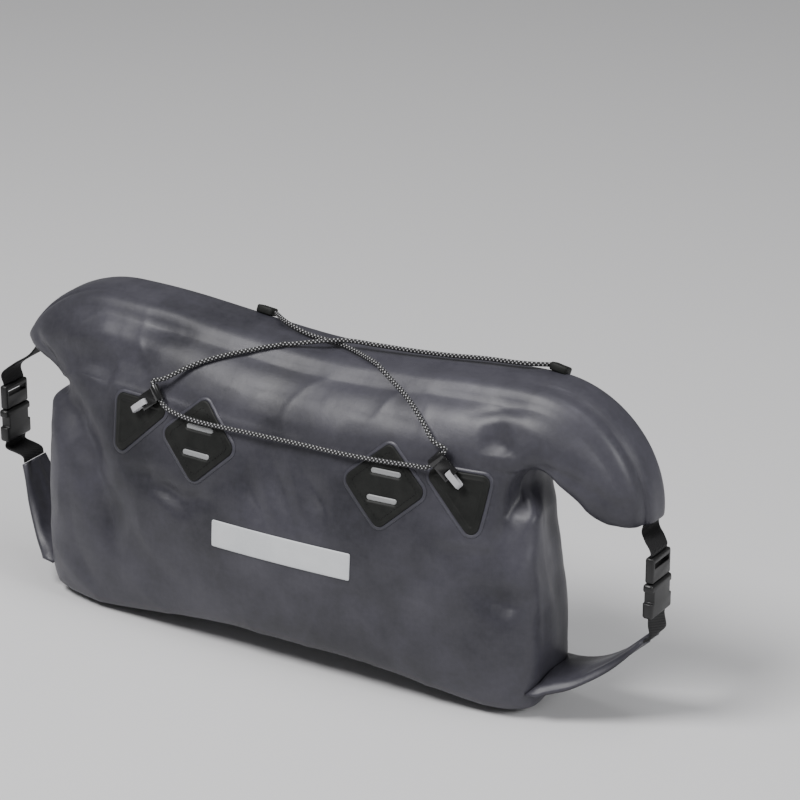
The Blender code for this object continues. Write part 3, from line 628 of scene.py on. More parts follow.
class Finishes:
    """The finishes of the bag, each made once."""

    def __init__(self) -> None:
        """Make all the materials."""
        self.cloth = CoatedCloth().make()
        # The weld rim is the cloth in lighter colours: a painted highlight along the raised bead, which is
        # real geometry.
        self.rim = CoatedCloth(name="weld_rim_painted_highlight", light=(0.084, 0.082, 0.103, 1.0),
                               dark=(0.034, 0.034, 0.044, 1.0), roughness=0.34).make()
        self.patch = Rubber().make()
        self.thread = Rubber(name="stitching", light=(0.024, 0.024, 0.025, 1.0),
                             dark=(0.005, 0.005, 0.005, 1.0), roughness=0.62).make()
        self.webbing = Webbing().make()
        self.buckle = Moulded("buckle_plastic", (0.0045, 0.0045, 0.005, 1.0), 0.40, 0.5, 0.10).make()
        self.hook = Moulded("hook_plastic", (0.006, 0.006, 0.0065, 1.0), 0.20, 0.15, 0.5).make()
        self.cord = FleckedCord().make()
        self.tape = SilverTape().make()
        self.film = LightFilm().make()
        self.bars = LightFilm(name="grey_film", light=(0.34, 0.345, 0.35, 1.0),
                              dark=(0.25, 0.255, 0.26, 1.0)).make()


# Making pieces


def select_only(item: bpy.types.Object) -> None:
    """Make one object the only selected and active one.

    Args:
        item: the object to select.
    """
    bpy.ops.object.select_all(action="DESELECT")
    item.select_set(True)
    bpy.context.view_layer.objects.active = item


def grid_piece(name: str, points: Array, chart: Array, material: bpy.types.Material,
               merge: float = SAME_POINT) -> bpy.types.Object:
    """A piece shaped from a primitive grid, whose seams and poles are merged.

    Args:
        name: the piece's name.
        points: places, by row and by column.
        chart: map coordinates in metres, by row and by column.
        material: its finish.
        merge: how close points are when they are the same point.

    Returns:
        The piece, riding on the root.
    """
    rows, columns = points.shape[:2]
    bpy.ops.object.select_all(action="DESELECT")
    bpy.ops.mesh.primitive_grid_add(x_subdivisions=columns - 1, y_subdivisions=rows - 1, size=1.0,
                                    calc_uvs=True, location=(0, 0, 0))
    item = bpy.context.active_object
    item.name = name
    mesh = item.data
    mesh.name = name
    flat = np.empty(len(mesh.vertices) * 3)
    mesh.vertices.foreach_get("co", flat)
    flat = flat.reshape(-1, 3)
    column = np.rint((flat[:, 0] + 0.5) * (columns - 1)).astype(int)
    row = np.rint((flat[:, 1] + 0.5) * (rows - 1)).astype(int)
    mesh.vertices.foreach_set("co", points[row, column].ravel())
    corners = np.empty(len(mesh.loops), dtype=int)
    mesh.loops.foreach_get("vertex_index", corners)
    mesh.uv_layers.active.data.foreach_set("uv", chart[row, column][corners].ravel())
    mesh.update()
    bpy.ops.object.mode_set(mode="EDIT")
    bpy.ops.mesh.select_all(action="SELECT")
    bpy.ops.mesh.remove_doubles(threshold=merge)
    bpy.ops.object.mode_set(mode="OBJECT")
    return dressed(item, material)


def dressed(item: bpy.types.Object, material: bpy.types.Material) -> bpy.types.Object:
    """Give a piece its finish and let it ride on the root.

    Args:
        item: the piece.
        material: its finish.

    Returns:
        The piece.
    """
    item.data.materials.clear()
    item.data.materials.append(material)
    item.data.shade_smooth()
    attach(item, ROOT)
    return item


def outwards(item: bpy.types.Object) -> bpy.types.Object:
    """Turn a closed piece's faces outwards.

    Args:
        item: a closed piece.

    Returns:
        The piece.
    """
    select_only(item)
    bpy.ops.object.mode_set(mode="EDIT")
    bpy.ops.mesh.select_all(action="SELECT")
    bpy.ops.mesh.normals_make_consistent(inside=False)
    bpy.ops.object.mode_set(mode="OBJECT")
    return item


def apply(item: bpy.types.Object, kind: str, **settings: object) -> bpy.types.Object:
    """Add a modifier with its settings and apply it.

    Args:
        item: the piece.
        kind: the modifier's type.
        settings: the modifier's settings.

    Returns:
        The piece.
    """
    select_only(item)
    modifier = item.modifiers.new(kind.title(), kind)
    for name, setting in settings.items():
        setattr(modifier, name, setting)
    bpy.ops.object.modifier_apply(modifier=modifier.name)
    return item


def chart_of(points: Array) -> Array:
    """A map in metres for a grid of points, by their distances along and across it.

    Args:
        points: the grid of places.

    Returns:
        A map place for each of them.
    """
    across = np.linalg.norm(np.diff(points, axis=1), axis=2).max(axis=0)
    along = np.linalg.norm(np.diff(points, axis=0), axis=2).max(axis=1)
    u = np.concatenate([[0.0], np.cumsum(across)])
    v = np.concatenate([[0.0], np.cumsum(along)])
    return np.stack(np.broadcast_arrays(u[None, :], v[:, None]), axis=2).copy()


def closed_ends(rings: Array) -> Array:
    """The rings with each end drawn in to its middle."""
    start, end = (np.broadcast_to(ring[:-1].mean(axis=0), ring.shape) for ring in (rings[0], rings[-1]))
    return np.concatenate([start[None], rings, end[None]], axis=0)


def softened(node: str, bevel: float, material: bpy.types.Material) -> bpy.types.Object:
    """A copy of a rigid node with rounded edges, in the node's place.

    Args:
        node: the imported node.
        bevel: how far its edges are rounded.
        material: its finish.

    Returns:
        The piece that stands for the node.
    """
    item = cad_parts[node].copy()
    item.data = item.data.copy()
    item.parent = None
    item.name = f"{node}_moulded"
    for name in [key for key in item.keys() if key.startswith("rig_")]:
        del item[name]
    item.hide_render = item.hide_viewport = False
    bpy.context.collection.objects.link(item)
    item.matrix_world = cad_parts[node].matrix_world.copy()
    select_only(item)
    bpy.ops.object.mode_set(mode="EDIT")
    bpy.ops.mesh.select_all(action="SELECT")
    bpy.ops.mesh.remove_doubles(threshold=1e-5)
    bpy.ops.mesh.dissolve_limited(angle_limit=math.radians(3))
    bpy.ops.mesh.normals_make_consistent(inside=False)
    bpy.ops.object.mode_set(mode="OBJECT")
    apply(item, "BEVEL", width=bevel, segments=3, limit_method="ANGLE", angle_limit=math.radians(32),
          use_clamp_overlap=True, harden_normals=False)
    dressed(item, material)
    bpy.ops.object.shade_smooth_by_angle(angle=math.radians(40))
    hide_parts(node)
    return item


class Skin:
    """A surface that is asked where it is."""

    def __init__(self, points: Array, faces: Sequence[Sequence[int]]) -> None:
        """Take the surface's points and faces."""
        self.tree = BVHTree.FromPolygons([Vector(p) for p in points], faces)

    @classmethod
    def of_node(cls, node: str) -> "Skin":
        """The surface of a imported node.

        Args:
            node: the node's name.

        Returns:
            Its surface.
        """
        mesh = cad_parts[node].data
        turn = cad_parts[node].matrix_world
        return cls([tuple(turn @ v.co) for v in mesh.vertices], [tuple(p.vertices) for p in mesh.polygons])

    def hit(self, origin: Sequence[float], way: Sequence[float]) -> tuple[Vector, Vector]:
        """The first place of the surface from an origin, and the way it faces.

        Args:
            origin: where the probe starts.
            way: where it goes.

        Returns:
            The place and its normal.
        """
        place, normal, _, _ = self.tree.ray_cast(Vector(origin), Vector(way).normalized())
        if normal.dot(Vector(way)) > 0:
            normal = -normal
        return place, normal

    def front(self, x: float, z: float) -> tuple[Vector, Vector]:
        """The surface's front at a place sideways and up."""
        return self.hit((x, -0.5, z), (0, 1, 0))

    def over(self, line: Array, height: float) -> list[tuple]:
        """A closed line laid over the front.

        Args:
            line: its points sideways and up, without the first one again.
            height: how far it is raised.

        Returns:
            The places, with the first one again.
        """
        found = [self.front(*spot) for spot in np.concatenate([line, line[:1]])]
        return [tuple(place + normal * height) for place, normal in found]

    def clear(self, place: Vector, distance: float) -> Vector:
        """A place moved out of the surface until it is a distance away.

        Args:
            place: the place to move.
            distance: how far it has to be outside.

        Returns:
            The place, moved or as it was.
        """
        near, normal, _, _ = self.tree.find_nearest(place)
        away = place - near
        if away.dot(normal) < 0 or away.length < SAME_POINT:
            return near + normal * distance
        return place if away.length >= distance else near + away.normalized() * distance


# The bag's shell


@dataclass
class BagShell:
    """The welded tube: sections from the bottom to the neck, then the mouth rolled backwards."""

    wide: float = 0.440
    deep: float = 0.108
    tall: float = 0.221
    shift: float = -0.018
    flat_wide: float = 0.518
    flat_shift: float = -0.006
    back_y: float = -0.022
    bottom_z: float = -0.188
    wall: float = 0.0015
    cloth: float = 0.0009
    base_lift: float = 0.020
    base_share: float = 0.30
    corner_drop: float = 0.015
    corner_from: float = 0.05
    corner_over: float = 0.15
    ridge_sag: float = 0.011
    ridge_share: tuple = (0.60, 0.35)
    ridge_over: float = 0.180
    roll_deep: float = 0.032
    roll_front_y: float = -0.055
    roll_turn: float = 0.0052
    roll_gap: float = 0.0007
    roll_clear: float = 0.0009
    roll_inside: float = 0.010
    roll_end: float = 0.004
    crest_drop: float = 0.001
    bend_z: float = 0.005
    ear_fade: tuple = (-0.045, 0.035)
    ear_starts: tuple = (-0.193, 0.177)
    ear_radii: tuple = (0.075, 0.047)
    front_steps: int = 242
    back_steps: int = 100
    row_steps: int = 5
    roll_steps: int = 3
    base_rows: int = 6
    fold_spread: float = 1.25
    crease_spread: float = 1.75
    neck_fade: float = 0.05
    lumps: tuple = (0.075, 0.0008)
    ridges: tuple = (0.052, 0.0007)
    gathers: tuple = ((0.060, 0.030, 0.020), 0.00015)
    # height, left, right, front, back, square, belly
    sections: tuple = (
        (0.000, -0.071, -0.071, 0.700, 0.190, 4.6, 0.02),
        (0.012, -0.035, -0.035, 0.800, 0.100, 4.6, 0.04),
        (0.045, -0.011, -0.011, 0.900, 0.030, 4.8, 0.08),
        (0.120, 0.000, 0.000, 0.960, 0.005, 4.8, 0.12),
        (0.200, 0.000, 0.000, 0.985, 0.000, 4.7, 0.14),
        (0.280, 0.000, 0.000, 0.995, 0.000, 4.5, 0.16),
        (0.355, 0.000, 0.000, 1.000, 0.000, 4.3, 0.16),
        (0.430, -0.004, -0.006, 0.992, 0.000, 4.1, 0.16),
        (0.505, -0.004, -0.012, 0.974, 0.000, 4.0, 0.16),
        (0.580, 0.004, -0.021, 0.940, 0.000, 3.8, 0.15),
        (0.640, 0.018, -0.029, 0.903, 0.000, 3.7, 0.14),
        (0.690, 0.034, -0.034, 0.868, 0.002, 3.5, 0.13),
        (0.735, 0.050, -0.035, 0.835, 0.005, 3.4, 0.12),
        (0.775, 0.066, -0.021, 0.805, 0.010, 3.2, 0.11),
        (0.795, 0.075, 0.070, 0.785, 0.015, 2.8, 0.10),
        (0.825, 0.088, 0.167, 0.760, 0.025, 2.5, 0.09),
        (0.860, 0.104, 0.220, 0.715, 0.050, 2.3, 0.07),
        (0.895, 0.117, 0.232, 0.655, 0.100, 2.2, 0.05),
        (0.925, 0.123, 0.232, 0.575, 0.170, 2.2, 0.03),
        (0.950, 0.123, 0.232, 0.480, 0.245, 2.3, 0.01),
    )
    # depth, rise, turn, full
    neck: tuple = ((-0.319, -0.209, 38, 0.55), (-0.094, -0.141, 66, 0.20), (0.094, -0.047, 86, 0.00))
    # the main folds: x0, y0, z0, x1, y1, z1, wide, deep
    folds: tuple = (
        (0.875, 0.61, 0.80, 0.795, 0.74, 0.655, 0.14, 0.045),
        (0.841, 0.70, 0.624, 0.750, 0.84, 0.443, 0.15, 0.032),
        (0.718, 0.62, 0.925, 0.735, 0.67, 0.850, 0.11, 0.026),
        (0.812, 0.61, 0.880, 0.802, 0.69, 0.765, 0.11, -0.026),
        (0.770, 0.86, 0.385, 0.880, 0.77, 0.388, 0.12, 0.024),
        (0.690, 0.86, 0.300, 0.830, 0.83, 0.120, 0.24, -0.022),
        (-1.020, 0.68, 0.700, -0.900, 0.80, 0.600, 0.22, 0.045),
        (-0.900, 0.80, 0.600, -0.750, 0.91, 0.400, 0.22, 0.042),
        (-0.750, 0.91, 0.400, -0.660, 0.93, 0.270, 0.22, 0.024),
        (-1.000, 0.80, 0.500, -0.930, 0.87, 0.270, 0.20, -0.026),
        (-0.560, 0.90, 0.540, -0.400, 0.94, 0.480, 0.11, 0.022),
        (-0.400, 0.94, 0.485, -0.230, 0.90, 0.600, 0.11, 0.022),
        (-0.970, 0.62, 0.830, -0.680, 0.66, 0.900, 0.15, 0.030),
        (-0.800, 0.52, 0.960, -0.570, 0.47, 1.000, 0.14, 0.024),
        (0.900, 0.34, 0.740, 0.925, 0.36, 0.440, 0.24, 0.055),
        (-1.080, 0.34, 0.640, -1.080, 0.36, 0.420, 0.24, 0.050),
    )
    # the finer folds: the same columns
    creases: tuple = (
        (-0.214, 0.87, 0.684, -0.073, 0.98, 0.498, 0.15, 0.055),
        (-0.074, 0.86, 0.696, 0.036, 0.96, 0.521, 0.14, 0.050),
        (0.047, 0.87, 0.687, 0.188, 0.94, 0.552, 0.14, 0.046),
        (-0.140, 0.90, 0.640, -0.060, 0.94, 0.520, 0.07, -0.010),
        (-0.643, 0.88, 0.590, -0.424, 0.94, 0.483, 0.12, 0.060),
        (-0.403, 0.94, 0.488, -0.216, 0.90, 0.627, 0.12, 0.058),
        (-0.914, 0.72, 0.634, -0.787, 0.86, 0.422, 0.13, 0.075),
        (-0.787, 0.86, 0.422, -0.730, 0.92, 0.237, 0.13, 0.060),
        (-0.958, 0.81, 0.526, -0.911, 0.88, 0.206, 0.11, 0.024),
        (-1.030, 0.60, 0.700, -0.914, 0.72, 0.634, 0.13, 0.066),
        (-0.860, 0.82, 0.520, -0.700, 0.92, 0.440, 0.09, -0.014),
        (-1.011, 0.81, 0.149, -0.828, 0.86, 0.029, 0.10, -0.024),
        (-0.911, 0.88, 0.206, -0.830, 0.88, 0.060, 0.12, 0.016),
        (-1.081, 0.50, 0.900, -0.878, 0.45, 0.999, 0.20, 0.020),
        (-1.040, 0.57, 0.845, -0.700, 0.70, 0.830, 0.20, 0.034),
        (-0.940, 0.62, 0.790, -0.800, 0.70, 0.700, 0.16, 0.022),
        (0.870, 0.50, 0.800, 0.800, 0.67, 0.668, 0.13, 0.120),
        (0.801, 0.67, 0.665, 0.639, 0.86, 0.528, 0.14, 0.085),
        (0.639, 0.86, 0.528, 0.536, 0.93, 0.382, 0.13, 0.018),
        (0.858, 0.52, 0.796, 0.747, 0.63, 0.908, 0.13, 0.062),
        (0.845, 0.66, 0.740, 0.780, 0.76, 0.640, 0.08, -0.030),
        (0.779, 0.84, 0.390, 0.882, 0.75, 0.355, 0.13, 0.060),
        (0.882, 0.75, 0.355, 0.917, 0.62, 0.300, 0.10, 0.018),
        (0.700, 0.88, 0.300, 0.830, 0.83, 0.120, 0.14, 0.020),
        (0.877, 0.61, 0.618, 0.917, 0.59, 0.230, 0.12, 0.020),
        (0.905, 0.40, 0.700, 0.935, 0.38, 0.300, 0.14, 0.024),
        (0.895, 0.50, 0.520, 0.930, 0.30, 0.180, 0.11, 0.018),
        (0.891, 0.69, 0.025, 0.900, 0.40, 0.120, 0.12, 0.018),
        (0.890, 0.60, 0.842, 0.956, 0.57, 0.829, 0.050, 0.034),
        (0.956, 0.57, 0.829, 1.034, 0.52, 0.790, 0.050, 0.036),
        (1.034, 0.52, 0.790, 1.112, 0.43, 0.734, 0.050, 0.036),
        (1.112, 0.43, 0.734, 1.180, 0.30, 0.692, 0.050, 0.034),
        (1.180, 0.30, 0.692, 1.201, 0.14, 0.678, 0.050, 0.030),
        (-1.212, 0.42, 0.836, -1.080, 0.52, 0.768, 0.050, 0.030),
        (0.888, 0.34, 1.029, 1.088, 0.25, 0.919, 0.035, 0.014),
        (0.910, 0.02, 1.032, 1.105, 0.04, 0.921, 0.035, 0.014),
        (0.979, 0.46, 0.931, 1.115, 0.28, 0.877, 0.09, 0.022),
        (0.620, 0.55, 0.960, 0.800, 0.45, 1.010, 0.12, 0.018),
        (0.199, 0.98, 0.271, 0.754, 0.88, 0.248, 0.22, 0.012),
        (-0.700, 0.92, 0.230, -0.250, 0.98, 0.150, 0.20, 0.012),
        (-0.300, 0.66, 0.900, 0.050, 0.64, 0.910, 0.14, 0.012),
        (0.120, 0.64, 0.905, 0.440, 0.66, 0.900, 0.14, 0.012),
    )

    def half_shares(self, square: float, steps: int) -> Array:
        """X and depth shares of half a ring, at equal steps along it.

        Args:
            square: how square the ring is.
            steps: how many steps the half has.

        Returns:
            The shares, from -1 to 1 in X.
        """
        angle = np.linspace(0, math.pi, 900)
        across = np.sign(np.cos(angle)) * np.abs(np.cos(angle)) ** (2 / square)
        full = np.clip(np.sin(angle), 0, None) ** (2 / square)
        line = np.stack([across * self.wide / 2, full * self.deep / 2], axis=1)
        even = evened(line, steps + 1)
        return even / np.array([self.wide / 2, self.deep / 2])

    def rows(self) -> Array:
        """All the sections: half, middle, y, z, turn, deep, square, belly and rise, in finer steps.

        Returns:
            One section a row.
        """
        table = []
        for height, left, right, front, back, square, belly in self.sections:
            low = self.shift - self.wide / 2 * (1 + left)
            high = self.shift + self.wide / 2 * (1 + right)
            table.append(((high - low) / 2, (high + low) / 2, self.back_y - (front + back) / 2 * self.deep,
                          self.bottom_z + height * self.tall, 0.0, (front - back) * self.deep, square, belly,
                          height))
        last = table[-1]
        thick = 2 * self.wall + self.roll_gap
        top_y = self.roll_front_y + self.roll_deep / 4
        top_z = last[3] + last[5] / 2
        path = [(top_y + depth * self.roll_deep, top_z + rise * self.roll_deep, math.radians(turn), full)
                for depth, rise, turn, full in self.neck]
        crest_y, crest_z = path[-1][0], top_z - self.crest_drop
        rear_y = self.roll_front_y + self.roll_deep - self.roll_turn
        inside_y = self.roll_front_y + self.roll_inside
        path += [(crest_y + (rear_y - crest_y) * step / 2, crest_z, math.pi / 2, 0.0) for step in (1, 2)]
        path += [(rear_y + self.roll_turn * math.sin(turn), crest_z - self.roll_turn * (1 - math.cos(turn)),
                  math.pi / 2 + turn, 0.0) for turn in (math.pi * step / 4 for step in range(1, 5))]
        low_z = crest_z - 2 * self.roll_turn
        inner = self.roll_turn - (thick + self.roll_clear) / 2
        path.append((inside_y, low_z, 1.5 * math.pi, 0.0))
        path += [(inside_y - inner * math.sin(turn), low_z + inner * (1 - math.cos(turn)),
                  1.5 * math.pi + turn, 0.0) for turn in (math.pi / 2, math.pi)]
        path.append((rear_y - self.roll_end, low_z + 2 * inner, 2.5 * math.pi, 0.0))
        for y, z, turn, full in path:
            table.append((self.flat_wide / 2, self.flat_shift, y, z, turn, thick + full * (last[5] - thick),
                          2.3 if full else 12.0, 0.0, 1.0))
        coarse = np.array(table)
        fine = eased_rows(coarse, self.row_steps)
        fine[:, 2:4] = curved_rows(coarse, self.row_steps)[:, 2:4]
        body = (len(self.sections) - 1) * self.row_steps
        rolled = np.linspace(body, len(fine) - 1, (len(coarse) - len(self.sections)) * self.roll_steps + 1)
        kept = np.concatenate([np.arange(body), rolled])
        whole = np.arange(len(fine))
        return np.stack([np.interp(kept, whole, fine[:, k]) for k in range(fine.shape[1])], axis=1)

    def ring(self, row: Array) -> Array:
        """The points of one section: the back from right to left, the front, and the first one again.

        Args:
            row: one section.

        Returns:
            Its places.
        """
        half, middle, y, z, turn, deep, square, belly, _ = row
        back = self.half_shares(square, self.back_steps)
        front = self.half_shares(square, self.front_steps)
        shares = np.concatenate([back[:-1], -front[:-1], back[:1]])
        depth = shares[:, 1] * deep / 2
        depth = np.where(depth < 0, depth * (1 - belly * np.sin(math.pi / 2 * shares[:, 0]) ** 2), depth)
        return np.stack([middle + half * shares[:, 0], y + depth * math.cos(turn),
                         z - depth * math.sin(turn)], axis=1)

    def settled(self, points: Array, rise: Array) -> Array:
        """Lift the back of the base, sag the ridge and bend the ears.

        Args:
            points: places by row and column.
            rise: each row's height share.

        Returns:
            The moved places.
        """
        x, y, z = (points[..., k].copy() for k in range(3))
        rise = rise[:, None]
        low = smooth(1 - rise / self.base_share)
        z += self.base_lift * low * (y - (self.back_y - self.deep)) / self.deep
        z -= self.corner_drop * low * smooth((np.abs(x) - self.corner_from) / self.corner_over)
        high = smooth((rise - self.ridge_share[0]) / self.ridge_share[1])
        z += self.ridge_sag * high * smooth(np.abs(x) / self.ridge_over)
        for way, start, radius in zip((-1, 1), self.ear_starts, self.ear_radii):
            beyond = (x - start) * way
            fade = smooth((z - self.ear_fade[0]) / self.ear_fade[1])
            weight = np.where((beyond > 0) & (x * way > 0), fade, 0.0)
            angle = np.clip(beyond, 0, None) / radius
            reach = radius + z - self.bend_z
            bent_x = start + way * reach * np.sin(angle)
            bent_z = self.bend_z - radius + reach * np.cos(angle)
            x, z = x + weight * (bent_x - x), z + weight * (bent_z - z)
        return np.stack([x, y, z], axis=2)

    @staticmethod
    def normals(points: Array) -> Array:
        """Which way a closed grid of places faces.

        Args:
            points: the grid of places, each ring ending where it began.

        Returns:
            A unit normal for each place.
        """
        ring = points[:, :-1]
        across = np.roll(ring, -1, axis=1) - np.roll(ring, 1, axis=1)
        along = np.gradient(ring, axis=0)
        facing = np.cross(across, along)
        facing /= np.maximum(np.linalg.norm(facing, axis=2), 1e-12)[..., None]
        return np.concatenate([facing, facing[:, :1]], axis=1)

    def fold_depths(self, points: Array, table: tuple, spread: float = 0.0) -> Array:
        """How far a table of folds presses each place in.

        Args:
            points: places by row and column.
            table: the folds.
            spread: 0 for folds that add up, otherwise the width factor of creases that merge.

        Returns:
            The depths.
        """
        depth, pressed, raised = (np.zeros(points.shape[:2]) for _ in range(3))
        scale = np.array([self.wide / 2, -self.deep, self.tall])
        origin = np.array([0.0, self.back_y, self.bottom_z])
        for row in table:
            start, end = origin + np.array(row[:3]) * scale, origin + np.array(row[3:6]) * scale
            run = end - start
            share = np.clip((points - start) @ run / (run @ run), 0, 1)
            near = start + share[..., None] * run
            away = np.linalg.norm(points - near, axis=2) / (row[6] * self.deep)
            taper = 0.45 + 0.55 * np.sin(math.pi * np.clip(share, 0.04, 0.96))
            if not spread:
                depth += row[7] * self.deep * taper * smooth(1 - away / self.fold_spread)
                continue
            press = row[7] * self.deep * taper * np.clip(1 - away / spread, 0, 1) ** 1.9
            pressed, raised = np.maximum(pressed, press), np.maximum(raised, -press)
        return depth + pressed - raised

    def crumple(self, points: Array, quiet: Array) -> Array:
        """Soft lumps and faint creases of worn cloth.

        Args:
            points: places by row and column.
            quiet: from 0 to 1, where the cloth lies smooth.

        Returns:
            How far each place stands out.
        """
        heights = np.zeros(points.shape[:2])
        tilt = Matrix.Rotation(0.8, 3, Vector((1.0, 0.6, 0.3)).normalized())
        apart = Vector((3.1, 7.7, 1.3))
        for row in range(points.shape[0]):
            for column in range(points.shape[1] - 1):
                place = tilt @ Vector(points[row, column])
                lump = noise.fractal(place / self.lumps[0], 0.9, 2.0, 3)
                ridge = 1 - abs(noise.noise(place / self.ridges[0] + apart))
                gather = noise.noise(Vector(part / size for part, size in zip(place, self.gathers[0])))
                heights[row, column] = (lump * self.lumps[1] + (ridge ** 9 - 0.25) * self.ridges[1]
                                        + gather * self.gathers[1])
        heights[:, -1] = heights[:, 0]
        return heights * (1 - quiet)

    def build(self, finishes: Finishes, marks: Callable[[Array], Array]) -> "Skin":
        """Make the cloth.

        Args:
            finishes: the bag's finishes.
            marks: tells how near each place is to a welded mark, from 0 to 1.

        Returns:
            The cloth's outer surface.
        """
        rows = self.rows()
        rings = np.stack([self.ring(row) for row in rows])
        centre = np.array([rows[0, 1], rows[0, 2], rows[0, 3]])
        floor = np.stack([centre + (rings[0] - centre) * k / self.base_rows for k in range(self.base_rows)])
        rise = np.concatenate([np.zeros(self.base_rows), rows[:, 8]])
        points = self.settled(np.concatenate([floor, rings]), rise)
        body = smooth((1.0 - rise) / self.neck_fade) * np.clip(np.arange(len(rise)) / self.base_rows, 0, 1)
        body = body[:, None]
        points -= self.normals(points) * (self.fold_depths(points, self.folds) * body)[..., None]
        quiet = np.maximum(marks(points), 1 - np.clip(body + 0.12, 0, 1))
        press = self.fold_depths(points, self.creases, self.crease_spread) * body * (1 - marks(points))
        points += self.normals(points) * (self.crumple(points, quiet) - press)[..., None]
        points[:, -1] = points[:, 0]
        points[0] = points[0].mean(axis=0)
        count = points.shape[1] - 1
        faces = [(r * (count + 1) + k, r * (count + 1) + k + 1, (r + 1) * (count + 1) + k + 1,
                  (r + 1) * (count + 1) + k) for r in range(points.shape[0] - 1) for k in range(count)]
        skin = Skin(points.reshape(-1, 3), faces)
        item = grid_piece("bag_cloth", points, chart_of(points), finishes.cloth, merge=2e-5)
        apply(item, "SOLIDIFY", thickness=self.cloth, offset=-1.0, use_even_offset=False)
        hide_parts("bag_shell")
        LOG.info("bag_cloth: %d faces", len(item.data.polygons))
        return skin


# Marks on the front


